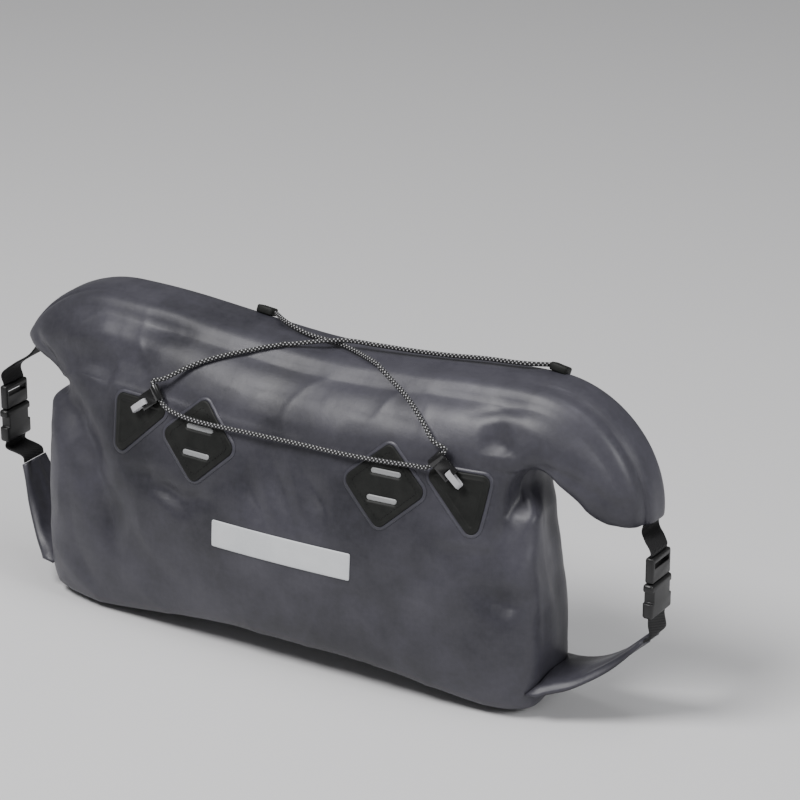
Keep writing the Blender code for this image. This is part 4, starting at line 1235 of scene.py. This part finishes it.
@dataclass
class FrontMarks:
    """The diamond patches, the hook patches and the light strip, welded on the front."""

    lash_x: float = 0.081
    lash_z: float = -0.034
    half_wide: float = 0.034
    half_tall: float = 0.031
    slot_long: float = 0.0205
    slot_tall: float = 0.0040
    slot_pitch: float = 0.019
    hook_corners: tuple = ((0.162, -0.014), (0.106, -0.014), (0.157, -0.063))
    round: float = 0.006
    strip_half: tuple = (0.0605, 0.0105)
    strip_z: float = -0.098
    rim_wide: float = 0.0036
    rim_high: float = 0.0009
    rim_out: float = 0.82
    rim_sunk: float = 0.0003
    stitch_inset: float = 0.0046
    stitch_pitch: float = 0.0030
    stitch_half: tuple = (0.36, 0.00030, 0.00026)
    stitch_high: float = 0.00175
    foot: float = 0.0002
    recess: tuple = (0.0016, 0.0009)
    hook_spot: tuple = (0.140, -0.032, 0.027, 0.030)
    lash_spot: tuple = (0.036, 0.034)
    outline_points: int = 150
    # how far in and how high each line of an edge lies
    lash_edge: tuple = ((-0.0002, 0.0004), (-0.0001, 0.0011), (0.0004, 0.0016), (0.0013, 0.0017),
                        (0.0030, 0.0016))
    hook_edge: tuple = ((-0.0002, 0.0004), (0.0002, 0.0014), (0.0012, 0.0017), (0.0030, 0.0017),
                        (0.0038, 0.0022), (0.0046, 0.0022), (0.0054, 0.0016))
    bar_edge: tuple = ((0.0, 0.0010), (0.0003, 0.0014), (0.0008, 0.0016))
    strip_edge: tuple = ((0.0, 0.0005), (0.0003, 0.0009), (0.0010, 0.0010))

    def diamond(self, side: Side) -> list[tuple[float, float]]:
        """The corners of a lash patch.

        Args:
            side: the bag's side.

        Returns:
            X and Z of each corner.
        """
        x = side.value * self.lash_x
        return [(x + self.half_wide, self.lash_z), (x, self.lash_z + self.half_tall),
                (x - self.half_wide, self.lash_z), (x, self.lash_z - self.half_tall)]

    def triangle(self, side: Side) -> list[tuple[float, float]]:
        """The corners of a hook patch."""
        return [(side.value * x, z) for x, z in self.hook_corners]

    def strip(self) -> list[tuple[float, float]]:
        """The corners of the light strip.

        Returns:
            X and Z of each corner.
        """
        wide, tall = self.strip_half
        return [(wide, self.strip_z - tall), (wide, self.strip_z + tall),
                (-wide, self.strip_z + tall), (-wide, self.strip_z - tall)]

    def nearness(self, points: Array) -> Array:
        """How near each place of the front is to a mark, from 0 to 1.

        Args:
            points: the places of the cloth.

        Returns:
            A share for each place.
        """
        near = np.zeros(points.shape[:2])
        hook_x, *hook_rest = self.hook_spot
        spots = [(side.value * self.lash_x, self.lash_z, *self.lash_spot) for side in Side]
        spots += [(side.value * hook_x, *hook_rest) for side in Side]
        spots.append((0.0, self.strip_z, *(half + 0.004 for half in self.strip_half)))
        for x, z, wide, tall in spots:
            reach = np.maximum(np.abs(points[..., 0] - x) / wide, np.abs(points[..., 2] - z) / tall)
            near = np.maximum(near, smooth((1.35 - reach) / 0.35))
        return np.where(points[..., 1] < -0.05, near, 0.0)

    def draped(self, name: str, skin: Skin, outline: Array, insets: Sequence[tuple[float, float]],
               material: bpy.types.Material, lift: Callable[[float, float], float] | None = None,
               fill: int = 26) -> bpy.types.Object:
        """A thin closed piece that follows the cloth.

        Args:
            name: the piece's name.
            skin: the cloth's surface.
            outline: its outline sideways and up.
            insets: from the foot of the edge inwards, how far in and how high each line lies.
            material: its finish.
            lift: more height at a place, such as a recess.
            fill: how many rings lie between the last line and the middle.

        Returns:
            The piece.
        """
        centre = outline.mean(axis=0)
        flat_rows = [(np.broadcast_to(centre, outline.shape), self.foot)]
        flat_rows += [(inset(outline, insets[0][0]), self.foot)]
        flat_rows += [(inset(outline, away), height) for away, height in insets]
        last = flat_rows[-1]
        flat_rows += [(last[0] + (centre - last[0]) * step / fill, last[1]) for step in range(1, fill + 1)]
        grid = []
        for flat, height in flat_rows:
            line = []
            for x, z in np.concatenate([flat, flat[:1]]):
                place, normal = skin.front(x, z)
                more = lift(x, z) if lift and height > 0.0005 else 0.0
                line.append(tuple(place + normal * (height + more)))
            grid.append(line)
        points = np.array(grid)
        chart = np.stack([points[..., 0], points[..., 2]], axis=2)
        return outwards(grid_piece(name, points, chart, material))

    def stitches(self, name: str, skin: Skin, outline: Array,
                 material: bpy.types.Material) -> bpy.types.Object:
        """A line of stitches, one modelled and the rest copied.

        Args:
            name: the piece's name.
            skin: the cloth's outer surface.
            outline: the line they follow.
            material: the thread's finish.

        Returns:
            The piece.
        """
        line = np.concatenate([outline, outline[:1]])
        total = float(np.linalg.norm(np.diff(line, axis=0), axis=1).sum())
        places = evened(line, int(total / self.stitch_pitch) + 1)
        bpy.ops.object.select_all(action="DESELECT")
        bpy.ops.mesh.primitive_uv_sphere_add(segments=6, ring_count=4, radius=1.0, location=(0, 0, 0))
        first = bpy.context.active_object
        copies = []
        long_share, half_wide, half_thick = self.stitch_half
        shape = Matrix.Diagonal((self.stitch_pitch * long_share, half_wide, half_thick, 1))
        for here, there in zip(places, places[1:]):
            start, normal = skin.front(*here)
            end, _ = skin.front(*there)
            run = (end - start).normalized()
            side = normal.cross(run).normalized()
            middle = start.lerp(end, 0.5) + normal * self.stitch_high
            item = first.copy()
            item.data = first.data.copy()
            bpy.context.collection.objects.link(item)
            turn = Matrix((run, side, run.cross(side))).transposed().to_4x4()
            item.data.transform(Matrix.Translation(middle) @ turn @ shape)
            copies.append(item)
        bpy.data.objects.remove(first, do_unlink=True)
        bpy.ops.object.select_all(action="DESELECT")
        for item in copies:
            item.select_set(True)
        bpy.context.view_layer.objects.active = copies[0]
        bpy.ops.object.join()
        joined = bpy.context.active_object
        joined.name = name
        return dressed(outwards(joined), material)

    def build(self, skin: Skin, finishes: Finishes) -> None:
        """Make every mark on the front.

        Args:
            skin: the cloth's outer surface.
            finishes: the bag's finishes.
        """
        for side in Side:
            x = side.value * self.lash_x
            outline = rounded_outline(self.diamond(side), self.round, self.outline_points)
            self.rim(f"lash_rim_{side.word}", skin, outline, finishes)

            def slots(px: float, pz: float, x: float = x) -> float:
                """The shallow recess round each light bar.

                Args:
                    px: a place's X.
                    pz: its Z.
                    x: X of the patch's middle.

                Returns:
                    How far the place is raised, below 0 in the recess.
                """
                depth = 0.0
                wall, sunk = self.recess
                for row in (-1, 1):
                    dx = max(abs(px - x) - self.slot_long / 2, 0.0)
                    gap = math.hypot(dx, pz - self.lash_z - row * self.slot_pitch / 2)
                    depth = max(depth, float(smooth((self.slot_tall / 2 + wall - gap) / wall)))
                return -sunk * depth

            patch = self.draped(f"lash_patch_{side.word}_welded", skin, outline, self.lash_edge,
                                finishes.patch, slots, fill=44)
            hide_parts(f"lash_patch_{side.word}")
            self.stitches(f"lash_stitches_{side.word}", skin, inset(outline, self.stitch_inset),
                          finishes.thread)
            for word, row in (("upper", 1), ("lower", -1)):
                z = self.lash_z + row * self.slot_pitch / 2
                wide, tall = self.slot_long / 2 + self.slot_tall / 2, self.slot_tall / 2
                corners = [(x + wide, z - tall), (x + wide, z + tall),
                           (x - wide, z + tall), (x - wide, z - tall)]
                bar = self.draped(f"slot_bar_{side.word}_{word}", skin,
                                  rounded_outline(corners, tall * 0.98, 60),
                                  self.bar_edge, finishes.bars, fill=4)
                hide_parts(f"slot_strip_{side.word}_{word}")
            outline = rounded_outline(self.triangle(side), self.round, self.outline_points)
            self.rim(f"hook_rim_{side.word}", skin, outline, finishes)
            patch = self.draped(f"hook_patch_{side.word}_welded", skin, outline, self.hook_edge,
                                finishes.patch)
            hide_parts(f"hook_patch_{side.word}")
        strip = self.draped("front_strip_film", skin, rounded_outline(self.strip(), 0.0012, 200),
                            self.strip_edge, finishes.film, fill=12)
        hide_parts("front_strip")
        LOG.info("marks: two lash patches, two hook patches and a strip")

    def rim(self, name: str, skin: Skin, outline: Array, finishes: Finishes) -> bpy.types.Object:
        """The raised line that a weld leaves in the cloth round a patch, in the lighter rim cloth that paints
        a highlight along it.

        Args:
            name: the piece's name.
            skin: the cloth's outer surface.
            outline: the patch's outline.
            finishes: the bag's finishes.

        Returns:
            The piece.
        """
        rows = []
        for step in range(ARC_STEPS + 1):
            share = step / ARC_STEPS
            away = self.rim_wide * (share - self.rim_out)
            height = 0.0001 + self.rim_high * math.sin(math.pi * share) ** 1.3
            rows.append(skin.over(inset(outline, away), height))
        rows.append(skin.over(inset(outline, self.rim_wide * 0.1), -self.rim_sunk))
        rows.append(rows[0])
        points = np.array(rows)
        return outwards(grid_piece(name, points, chart_of(points), finishes.rim))


# Side straps


@dataclass
class SideStraps:
    """The tabs of the base, the webbing and the buckles at both ends."""

    side_y: float = -0.055
    buckle_x: tuple = (-0.303, 0.2755)
    buckle_z: tuple = (-0.076, -0.085)
    buckle_tall: float = 0.0473
    web_wide: float = 0.025
    web_thick: float = 0.0018
    ear_reach: tuple = (0.028, 0.036)
    ear_y: float = -0.037
    gap: float = 0.0003
    skin_gap: float = 0.0005
    tab_tip: tuple = ((-0.287, -0.116), (0.273, -0.130))
    root_z: float = -0.170
    root_y: float = -0.070
    root_wide: float = 0.066
    tip_wide: float = 0.028
    tab_thick: float = 0.0036
    tab_gap: float = 0.00144
    tab_sag: float = 0.008
    tab_steps: int = 44
    tab_crease: float = 0.0011
    tab_pleat: float = 0.0010
    web_lead: float = 0.006
    web_steps: tuple = (60, 44)
    web_ripple: tuple = (0.0007, 0.0004)
    probe_reach: float = 0.062
    seat_x: float = 0.176
    far_x: float = 0.88
    tab_section: tuple = ((-1.00, -0.20), (-0.86, -0.10), (-0.70, -0.05), (-0.45, 0.02), (0.00, 0.05),
                          (0.45, 0.03), (0.70, 0.00), (0.86, -0.02), (1.00, -0.04))

    def band(self, name: str, path: list[Vector], finishes: Finishes, ripple: float) -> bpy.types.Object:
        """Webbing along a path, with round edges and a slight ripple.

        Args:
            name: the piece's name.
            path: even points along its middle.
            finishes: the bag's finishes.
            ripple: how far it strays.

        Returns:
            The piece.
        """
        wide_way = Vector((0, 1, 0))
        rings, chart = [], []
        along = 0.0
        for k, place in enumerate(path):
            before, after = path[max(k - 1, 0)], path[min(k + 1, len(path) - 1)]
            across = (after - before).cross(wide_way).normalized()
            along += (place - before).length
            fade = math.sin(math.pi * k / (len(path) - 1)) ** 0.6
            ring, row = [], []
            for step in range(25):
                angle = math.tau * step / 24
                wide = math.copysign(abs(math.cos(angle)) ** 0.35, math.cos(angle)) * self.web_wide / 2
                thin = math.copysign(abs(math.sin(angle)) ** 0.6, math.sin(angle)) * self.web_thick / 2
                stray = ripple * fade * noise.noise(Vector((along / 0.011, wide / 0.016, place.x)))
                ring.append(tuple(place + wide_way * wide + across * (thin + stray)))
                row.append((wide, along))
            rings.append(ring)
            chart.append(row)
        points = closed_ends(np.array(rings))
        rows = np.array(chart)
        rows = np.concatenate([rows[:1], rows, rows[-1:]])
        return outwards(grid_piece(name, points, rows, finishes.webbing))

    def build_upper(self, side: Side, shell: BagShell, skin: Skin, finishes: Finishes) -> None:
        """Webbing from the end of an ear to the top of the buckle.

        Args:
            side: the bag's side.
            shell: the cloth's sizes.
            skin: the cloth's outer surface.
            finishes: the bag's finishes.
        """
        n = side.number
        start_x, radius = shell.ear_starts[n], shell.ear_radii[n]
        turn = (shell.flat_wide / 2 + side.value * shell.flat_shift - side.value * start_x) / radius
        reach = radius + self.ear_reach[n]
        ear = Vector((start_x + side.value * reach * math.sin(turn), self.ear_y,
                      shell.bend_z - radius + reach * math.cos(turn)))
        way = Vector((side.value * math.cos(turn), 0, -math.sin(turn)))
        wide_way = Vector((0, 1, 0))
        thin_way = wide_way.cross(way)
        reaches = []
        for across in (-1, -0.5, 0, 0.5, 1):
            for layer in (-1, 0, 1):
                probe = ear + way * self.probe_reach + wide_way * across * self.web_wide / 2
                found = skin.tree.ray_cast(probe + thin_way * layer * self.web_thick, -way)[0]
                if found is not None:
                    reaches.append((found - ear).dot(way))
        start = ear + way * (max(reaches) + 2 * self.skin_gap)
        end = Vector((self.buckle_x[n], self.side_y, self.buckle_z[n] + self.buckle_tall / 2 + self.gap))
        handle = abs(end.z - start.z) / 2
        up = Vector((0, 0, 1))
        path = even_path([start, start + way * handle, end + up * handle * 0.6, end], self.web_steps[0])
        item = self.band(f"upper_webbing_{side.word}", path, finishes, self.web_ripple[0])
        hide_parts(f"upper_strap_{side.word}")

    def build_lower(self, side: Side, skin: Skin, finishes: Finishes) -> None:
        """The folded tab of the base and the webbing from its tip to the buckle.

        Args:
            side: the bag's side.
            skin: the cloth's outer surface.
            finishes: the bag's finishes.
        """
        n, way = side.number, side.value
        wide_way, up = Vector((0, 1, 0)), Vector((0, 0, 1))
        tip = Vector((self.tab_tip[n][0], self.side_y, self.tab_tip[n][1]))
        root, _ = skin.hit((way * self.far_x, self.root_y, self.root_z), (-way, 0, 0))
        root += Vector((way * 0.002, 0, 0))
        run = tip - root
        steps, sag = self.tab_steps, up * self.tab_sag
        path = even_path([root, root + run / 3 - sag, root + run * 2 / 3 - sag, tip], steps)
        section = curved_rows(np.array(self.tab_section), 4)
        grid = []
        for k, place in enumerate(path):
            share = k / (steps - 1)
            half = (self.root_wide + (self.tip_wide - self.root_wide) * share ** 0.8) / 2
            before, after = path[max(k - 1, 0)], path[min(k + 1, steps - 1)]
            over = (after - before).cross(wide_way).normalized()
            over *= math.copysign(1, over.z)
            ring = []
            for thick in (0.0, self.tab_thick):
                line = []
                for across, lift in section:
                    spot = Vector((place.x / 0.030, across * 2.4 * (0.4 + share), 5.0 * way))
                    crease = self.tab_crease * noise.noise(spot)
                    pleat = self.tab_pleat * share * math.sin(across * 7.0 + 1.2)
                    edge = 1 - abs(across) ** 8 * (0.55 if thick else 0.0)
                    line.append(place + wide_way * half * across
                                + over * (half * lift * (1 - share) + thick * edge + crease + pleat))
                ring += line if not thick else list(reversed(line))
            ring.append(ring[0])
            grid.append([tuple(self.beside(skin, p, way, k == 0)) for p in ring])
        points = closed_ends(np.array(grid))
        tab = outwards(grid_piece(f"base_flap_{side.word}", points, chart_of(points), finishes.cloth))
        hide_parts(f"base_tab_{side.word}")
        run_way = (path[-1] - path[-2]).normalized()
        over = run_way.cross(wide_way).normalized()
        over *= math.copysign(1, over.z)
        start = tip + over * self.tab_thick / 2 + run_way * 0.0005
        end = Vector((self.buckle_x[n], self.side_y, self.buckle_z[n] - self.buckle_tall / 2 - self.gap))
        lead = self.web_lead
        web = even_path([start, start + run_way * lead, end - up * lead, end], self.web_steps[1])
        item = self.band(f"lower_webbing_{side.word}", web, finishes, self.web_ripple[1])
        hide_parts(f"lower_strap_{side.word}")

    def beside(self, skin: Skin, point: Vector, way: int, seated: bool) -> Vector:
        """A point moved sideways off an end panel, if it is seated there or inside.

        Args:
            skin: the cloth's outer surface.
            point: the point to move.
            way: 1 on the right, -1 on the left.
            seated: whether the point is to lie on the panel.

        Returns:
            The point, moved or as it was.
        """
        found = skin.tree.ray_cast(Vector((way * self.far_x, point.y, point.z)), Vector((-way, 0, 0)))[0]
        if found is not None and found.x * way > self.seat_x:
            reach = found.x * way + self.tab_gap
            if seated or point.x * way < reach:
                return Vector((way * reach, point.y, point.z))
        return point

    def build(self, shell: BagShell, skin: Skin, finishes: Finishes) -> None:
        """Make both sides.

        Args:
            shell: the cloth's sizes.
            skin: the cloth's outer surface.
            finishes: the bag's finishes.
        """
        for side in Side:
            self.build_upper(side, shell, skin, finishes)
            self.build_lower(side, skin, finishes)
            softened(f"buckle_socket_{side.word}", 0.0009, finishes.buckle)
            softened(f"buckle_prong_{side.word}", 0.0007, finishes.buckle)
            LOG.info("side %s: tab, webbing and buckle", side.word)


# Elastic cord


@dataclass
class ElasticCord:
    """The cord with its hooks, tape loops and rear anchors."""

    thick: float = 0.0034
    gap: float = 0.0009
    mouth_clear: float = 0.0028
    hook_wide: float = 0.012
    hook_plate: float = 0.0024
    hook_reach: float = 0.0170
    hook_wall: float = 0.0014
    bore_clear: float = 0.0005
    hole: tuple = (0.142, -0.024)
    barrel: tuple = (0.120, -0.006)
    tape_long: float = 0.0150
    tape_high: float = 0.0056
    tape_lift: float = 0.0006
    patch_thick: float = 0.0014
    skin_gap: float = 0.0005
    small_gap: float = 0.0003
    anchor_size: tuple = (0.014, 0.010, 0.006)
    anchors: tuple = ((-0.080, -0.027, 0.036), (0.176, -0.027, 0.044))
    marks_top: float = 0.012
    marks_fade: float = 0.008
    # x, y, z, lift
    left_up: tuple = (
        (-0.117, -0.105, 0.006, 0.001), (-0.100, -0.094, 0.016, 0.0), (-0.081, -0.083, 0.023, 0.0),
        (-0.059, -0.072, 0.030, 0.0), (-0.028, -0.060, 0.036, 0.001), (0.003, -0.046, 0.040, 0.0042),
        (0.032, -0.042, 0.042, 0.0035), (0.058, -0.040, 0.043, 0.001), (0.090, -0.038, 0.045, 0.0),
        (0.120, -0.036, 0.048, 0.0), (0.151, -0.034, 0.050, 0.001),
    )
    across: tuple = (
        (-0.103, -0.110, -0.0175, 0.0), (-0.079, -0.112, -0.019, 0.0), (-0.033, -0.112, -0.018, 0.0),
        (0.012, -0.112, -0.017, 0.0), (0.044, -0.111, -0.017, 0.0), (0.077, -0.109, -0.016, 0.0),
        (0.103, -0.107, -0.0145, 0.0),
    )
    right_up: tuple = (
        (0.117, -0.104, 0.007, 0.001), (0.104, -0.096, 0.015, 0.0), (0.083, -0.083, 0.025, 0.0),
        (0.059, -0.070, 0.032, 0.0), (0.042, -0.062, 0.036, 0.0), (0.020, -0.051, 0.037, 0.0),
        (0.000, -0.045, 0.038, 0.0), (-0.029, -0.042, 0.038, 0.0), (-0.053, -0.036, 0.041, 0.001),
    )
    counts: tuple = (420, 300, 380)
    points: int = 1400
    sides: int = 16
    pitch: float = 0.0031
    starts: float = 1.5
    weave: tuple = (0.955, 0.07)
    close: float = 0.0004

    def bore(self, side: Side, cad: Skin) -> tuple[Vector, Vector]:
        """The middle and the way of the hook's bore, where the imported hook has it.

        Args:
            side: the bag's side.
            cad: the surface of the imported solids.

        Returns:
            The bore's middle and its direction.
        """
        hole, normal = cad.front(side.value * self.hole[0], self.hole[1])
        barrel, _ = cad.front(side.value * self.barrel[0], self.barrel[1])
        along = (barrel - hole).normalized()
        out = (normal - along * normal.dot(along)).normalized()
        across = out.cross(along)
        if across.z < 0:
            across = -across
        base = hole + out * (self.skin_gap + self.patch_thick + self.small_gap + self.tape_lift)
        middle = self.tape_high / 2
        reach = self.tape_long - middle - self.hook_plate + self.hook_reach
        outer = self.thick / 2 + self.bore_clear + self.hook_wall
        return base + along * reach + out * max(outer, middle), across

    def cord_end(self, side: Side, cad: Skin) -> Vector:
        """Where the cord meets a rear anchor.

        Args:
            side: the bag's side.
            cad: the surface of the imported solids.

        Returns:
            The place.
        """
        aim = Vector(self.anchors[side.number])
        place, normal = cad.hit(aim + Vector((0, 0.108, 0.108)), (0, -1, -1))
        sideways = Vector((1, 0, 0)) - normal * normal.x
        sideways.normalize()
        centre = place + normal * (self.anchor_size[2] / 2 + self.skin_gap)
        return centre - sideways * side.value * (self.anchor_size[0] / 2 + self.small_gap + 2 * self.skin_gap)

    def route(self, cad: Skin, skin: Skin) -> Array:
        """The cord's whole line, in three runs between its hooks and anchors.

        Args:
            cad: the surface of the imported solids.
            skin: the cloth's outer surface.

        Returns:
            Evenly spaced points.
        """
        stack = self.skin_gap + self.patch_thick + self.small_gap

        def places(rows: Sequence[tuple]) -> list[Vector]:
            """The named places of one run, off the cloth.

            Args:
                rows: the run's table.

            Returns:
                Its places.
            """
            found = []
            for x, y, z, lift in rows:
                low = float(smooth((self.marks_top - z) / self.marks_fade))
                found.append(cad.clear(Vector((x, y, z)), self.thick / 2 + self.gap + lift + low * stack))
            return found

        mouths = {}
        for side in Side:
            middle, way = self.bore(side, cad)
            mouths[side] = [middle + way * (self.hook_wide / 2 + self.mouth_clear) * end for end in (1, -1)]
        left_up, left_low = mouths[Side.LEFT]
        right_up, right_low = mouths[Side.RIGHT]
        start, end = self.cord_end(Side.RIGHT, cad), self.cord_end(Side.LEFT, cad)
        runs = (([start, *places(self.left_up[::-1]), left_up], None, left_low),
                ([left_low, *places(self.across), right_low], left_up, right_up),
                ([right_up, *places(self.right_up), end], right_low, None))
        line = []
        for (points, before, after), count in zip(runs, self.counts):
            path = even_path(points, count, before, after)
            inner = [skin.clear(cad.clear(p, self.thick / 2 + self.gap), self.thick / 2 + self.close)
                     for p in path[1:-1]]
            line += [path[0], *inner, path[-1]]
        return evened(np.array([tuple(p) for p in line]), self.points)

    def build_cord(self, cad: Skin, skin: Skin, finishes: Finishes) -> float:
        """Make the braided cord.

        Args:
            cad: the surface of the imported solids.
            skin: the cloth's outer surface.
            finishes: the bag's finishes.

        Returns:
            Its length in metres.
        """
        line = self.route(cad, skin)
        run = np.gradient(line, axis=0)
        run /= np.linalg.norm(run, axis=1)[:, None]
        side = np.cross(run, np.array([0.0, 0.0, 1.0]))
        side /= np.linalg.norm(side, axis=1)[:, None]
        over = np.cross(side, run)
        lengths = np.concatenate([[0.0], np.cumsum(np.linalg.norm(np.diff(line, axis=0), axis=1))])
        angle = np.linspace(0, math.tau, self.sides + 1)
        climb, turn = lengths[:, None] * math.pi / self.pitch, angle * self.starts
        weave = np.abs(np.sin(climb + turn)) * np.abs(np.sin(climb - turn))
        radius = self.thick / 2 * (self.weave[0] + self.weave[1] * weave)
        radius[:, -1] = radius[:, 0]
        points = (line[:, None, :] + radius[..., None] * (np.cos(angle)[None, :, None] * side[:, None, :]
                                                          + np.sin(angle)[None, :, None] * over[:, None, :]))
        chart = np.stack(np.broadcast_arrays((angle / math.tau)[None, :], lengths[:, None]), axis=2)
        chart = np.concatenate([chart[:1], chart, chart[-1:]])
        item = outwards(grid_piece("elastic_cord", closed_ends(points), chart, finishes.cord))
        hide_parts("bungee_cord")
        return float(lengths[-1])

    def build(self, cad: Skin, skin: Skin, finishes: Finishes) -> None:
        """Make the cord and dress its hooks, loops and anchors.

        Args:
            cad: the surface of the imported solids.
            skin: the cloth's outer surface.
            finishes: the bag's finishes.
        """
        length = self.build_cord(cad, skin, finishes)
        for side in Side:
            softened(f"cord_hook_{side.word}", 0.0006, finishes.hook)
            softened(f"rear_anchor_{side.word}", 0.0006, finishes.patch)
            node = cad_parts[f"tape_loop_{side.word}"]
            node.material_slots[0].material = finishes.tape
        LOG.info("cord: %.3f m", length)


@dataclass
class BarStraps:
    """The two plain straps at the back of the bag."""

    bevel: float = 0.0006

    def build(self, finishes: Finishes) -> None:
        """Round the straps' edges and give them webbing.

        Args:
            finishes: the bag's finishes.
        """
        for side in Side:
            softened(f"bar_strap_{side.word}", self.bevel, finishes.webbing)
        LOG.info("bar straps: two")


# Floor, light and camera


@dataclass
class Studio:
    """A plain pale floor, soft light and the camera."""

    target: tuple = (0.0426, -0.0288, -0.0036)
    eye: tuple = (1.2708, -1.9946, 0.9329)
    focal: float = 151.1
    sensor: float = 36.0
    floor_gap: float = 0.0015
    floor_side: float = 14.0
    floor_colour: tuple = (0.72, 0.72, 0.73, 1.0)
    world_strength: float = 0.20
    # name, place, size, power, colour
    lamps: tuple = (
        ("key", (-0.75, -1.35, 2.2), 1.2, 76.0, (1.0, 0.99, 0.985)),
        ("top", (0.5, 0.1, 2.5), 1.4, 13.0, (0.98, 0.985, 1.0)),
        ("right", (2.3, -0.4, 1.2), 0.9, 30.0, (1.0, 1.0, 1.0)),
    )

    def build_camera(self) -> None:
        """Set the camera at the photograph's viewing angle."""
        data = bpy.data.cameras.new("camera")
        data.sensor_width = self.sensor
        data.lens = self.focal
        data.clip_end = 60.0
        camera = bpy.data.objects.new("camera", data)
        bpy.context.collection.objects.link(camera)
        camera.location = self.eye
        camera.rotation_euler = (Vector(self.target) - Vector(self.eye)).to_track_quat("-Z", "Y").to_euler()
        bpy.context.scene.camera = camera

    def build_floor(self, low: float) -> None:
        """Lay the floor under the bag.

        Args:
            low: Z of the bag's lowest place.
        """
        bpy.ops.object.select_all(action="DESELECT")
        bpy.ops.mesh.primitive_plane_add(size=self.floor_side, location=(0, 0, 0))
        floor = bpy.context.active_object
        floor.name = "floor"
        floor.data.transform(Matrix.Translation((0, 0, low - self.floor_gap)))
        recipe = Recipe("pale_floor")
        floor.data.materials.append(recipe.done(base_color=self.floor_colour, roughness=0.9))
        floor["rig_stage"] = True

    def area(self, name: str, place: tuple, size: float, power: float, colour: tuple) -> None:
        """Hang one soft light that looks at the bag.

        Args:
            name: the light's name.
            place: where it hangs.
            size: its side in metres.
            power: its power in watts.
            colour: its colour.
        """
        data = bpy.data.lights.new(name, "AREA")
        data.shape = "DISK"
        data.size = size
        data.energy = power
        data.color = colour
        lamp = bpy.data.objects.new(name, data)
        bpy.context.collection.objects.link(lamp)
        lamp.location = place
        lamp.rotation_euler = (Vector(self.target) - Vector(place)).to_track_quat("-Z", "Y").to_euler()

    def build_light(self) -> None:
        """Soft light from the upper left, with a weak fill."""
        world = bpy.data.worlds.new("studio")
        world.use_nodes = True
        background = world.node_tree.nodes["Background"]
        background.inputs["Color"].default_value = (1.0, 1.0, 1.0, 1.0)
        background.inputs["Strength"].default_value = self.world_strength
        bpy.context.scene.world = world
        for lamp in self.lamps:
            self.area(*lamp)

    def build(self, low: float) -> None:
        """Make the floor, the lights and the camera.

        Args:
            low: Z of the bag's lowest place.
        """
        self.build_camera()
        self.build_floor(low)
        self.build_light()


def main() -> None:
    """Build the classes in order."""
    logging.basicConfig(level=logging.INFO, format="%(message)s")
    cad_box = [list(corner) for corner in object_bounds()]
    finishes = Finishes()
    cad = Skin.of_node("bag_shell")
    marks = FrontMarks()
    shell = BagShell()
    skin = shell.build(finishes, marks.nearness)
    marks.build(skin, finishes)
    SideStraps().build(shell, skin, finishes)
    ElasticCord().build(cad, skin, finishes)
    BarStraps().build(finishes)
    Studio().build(cad_box[0][2])


if __name__ == "__main__":
    main()
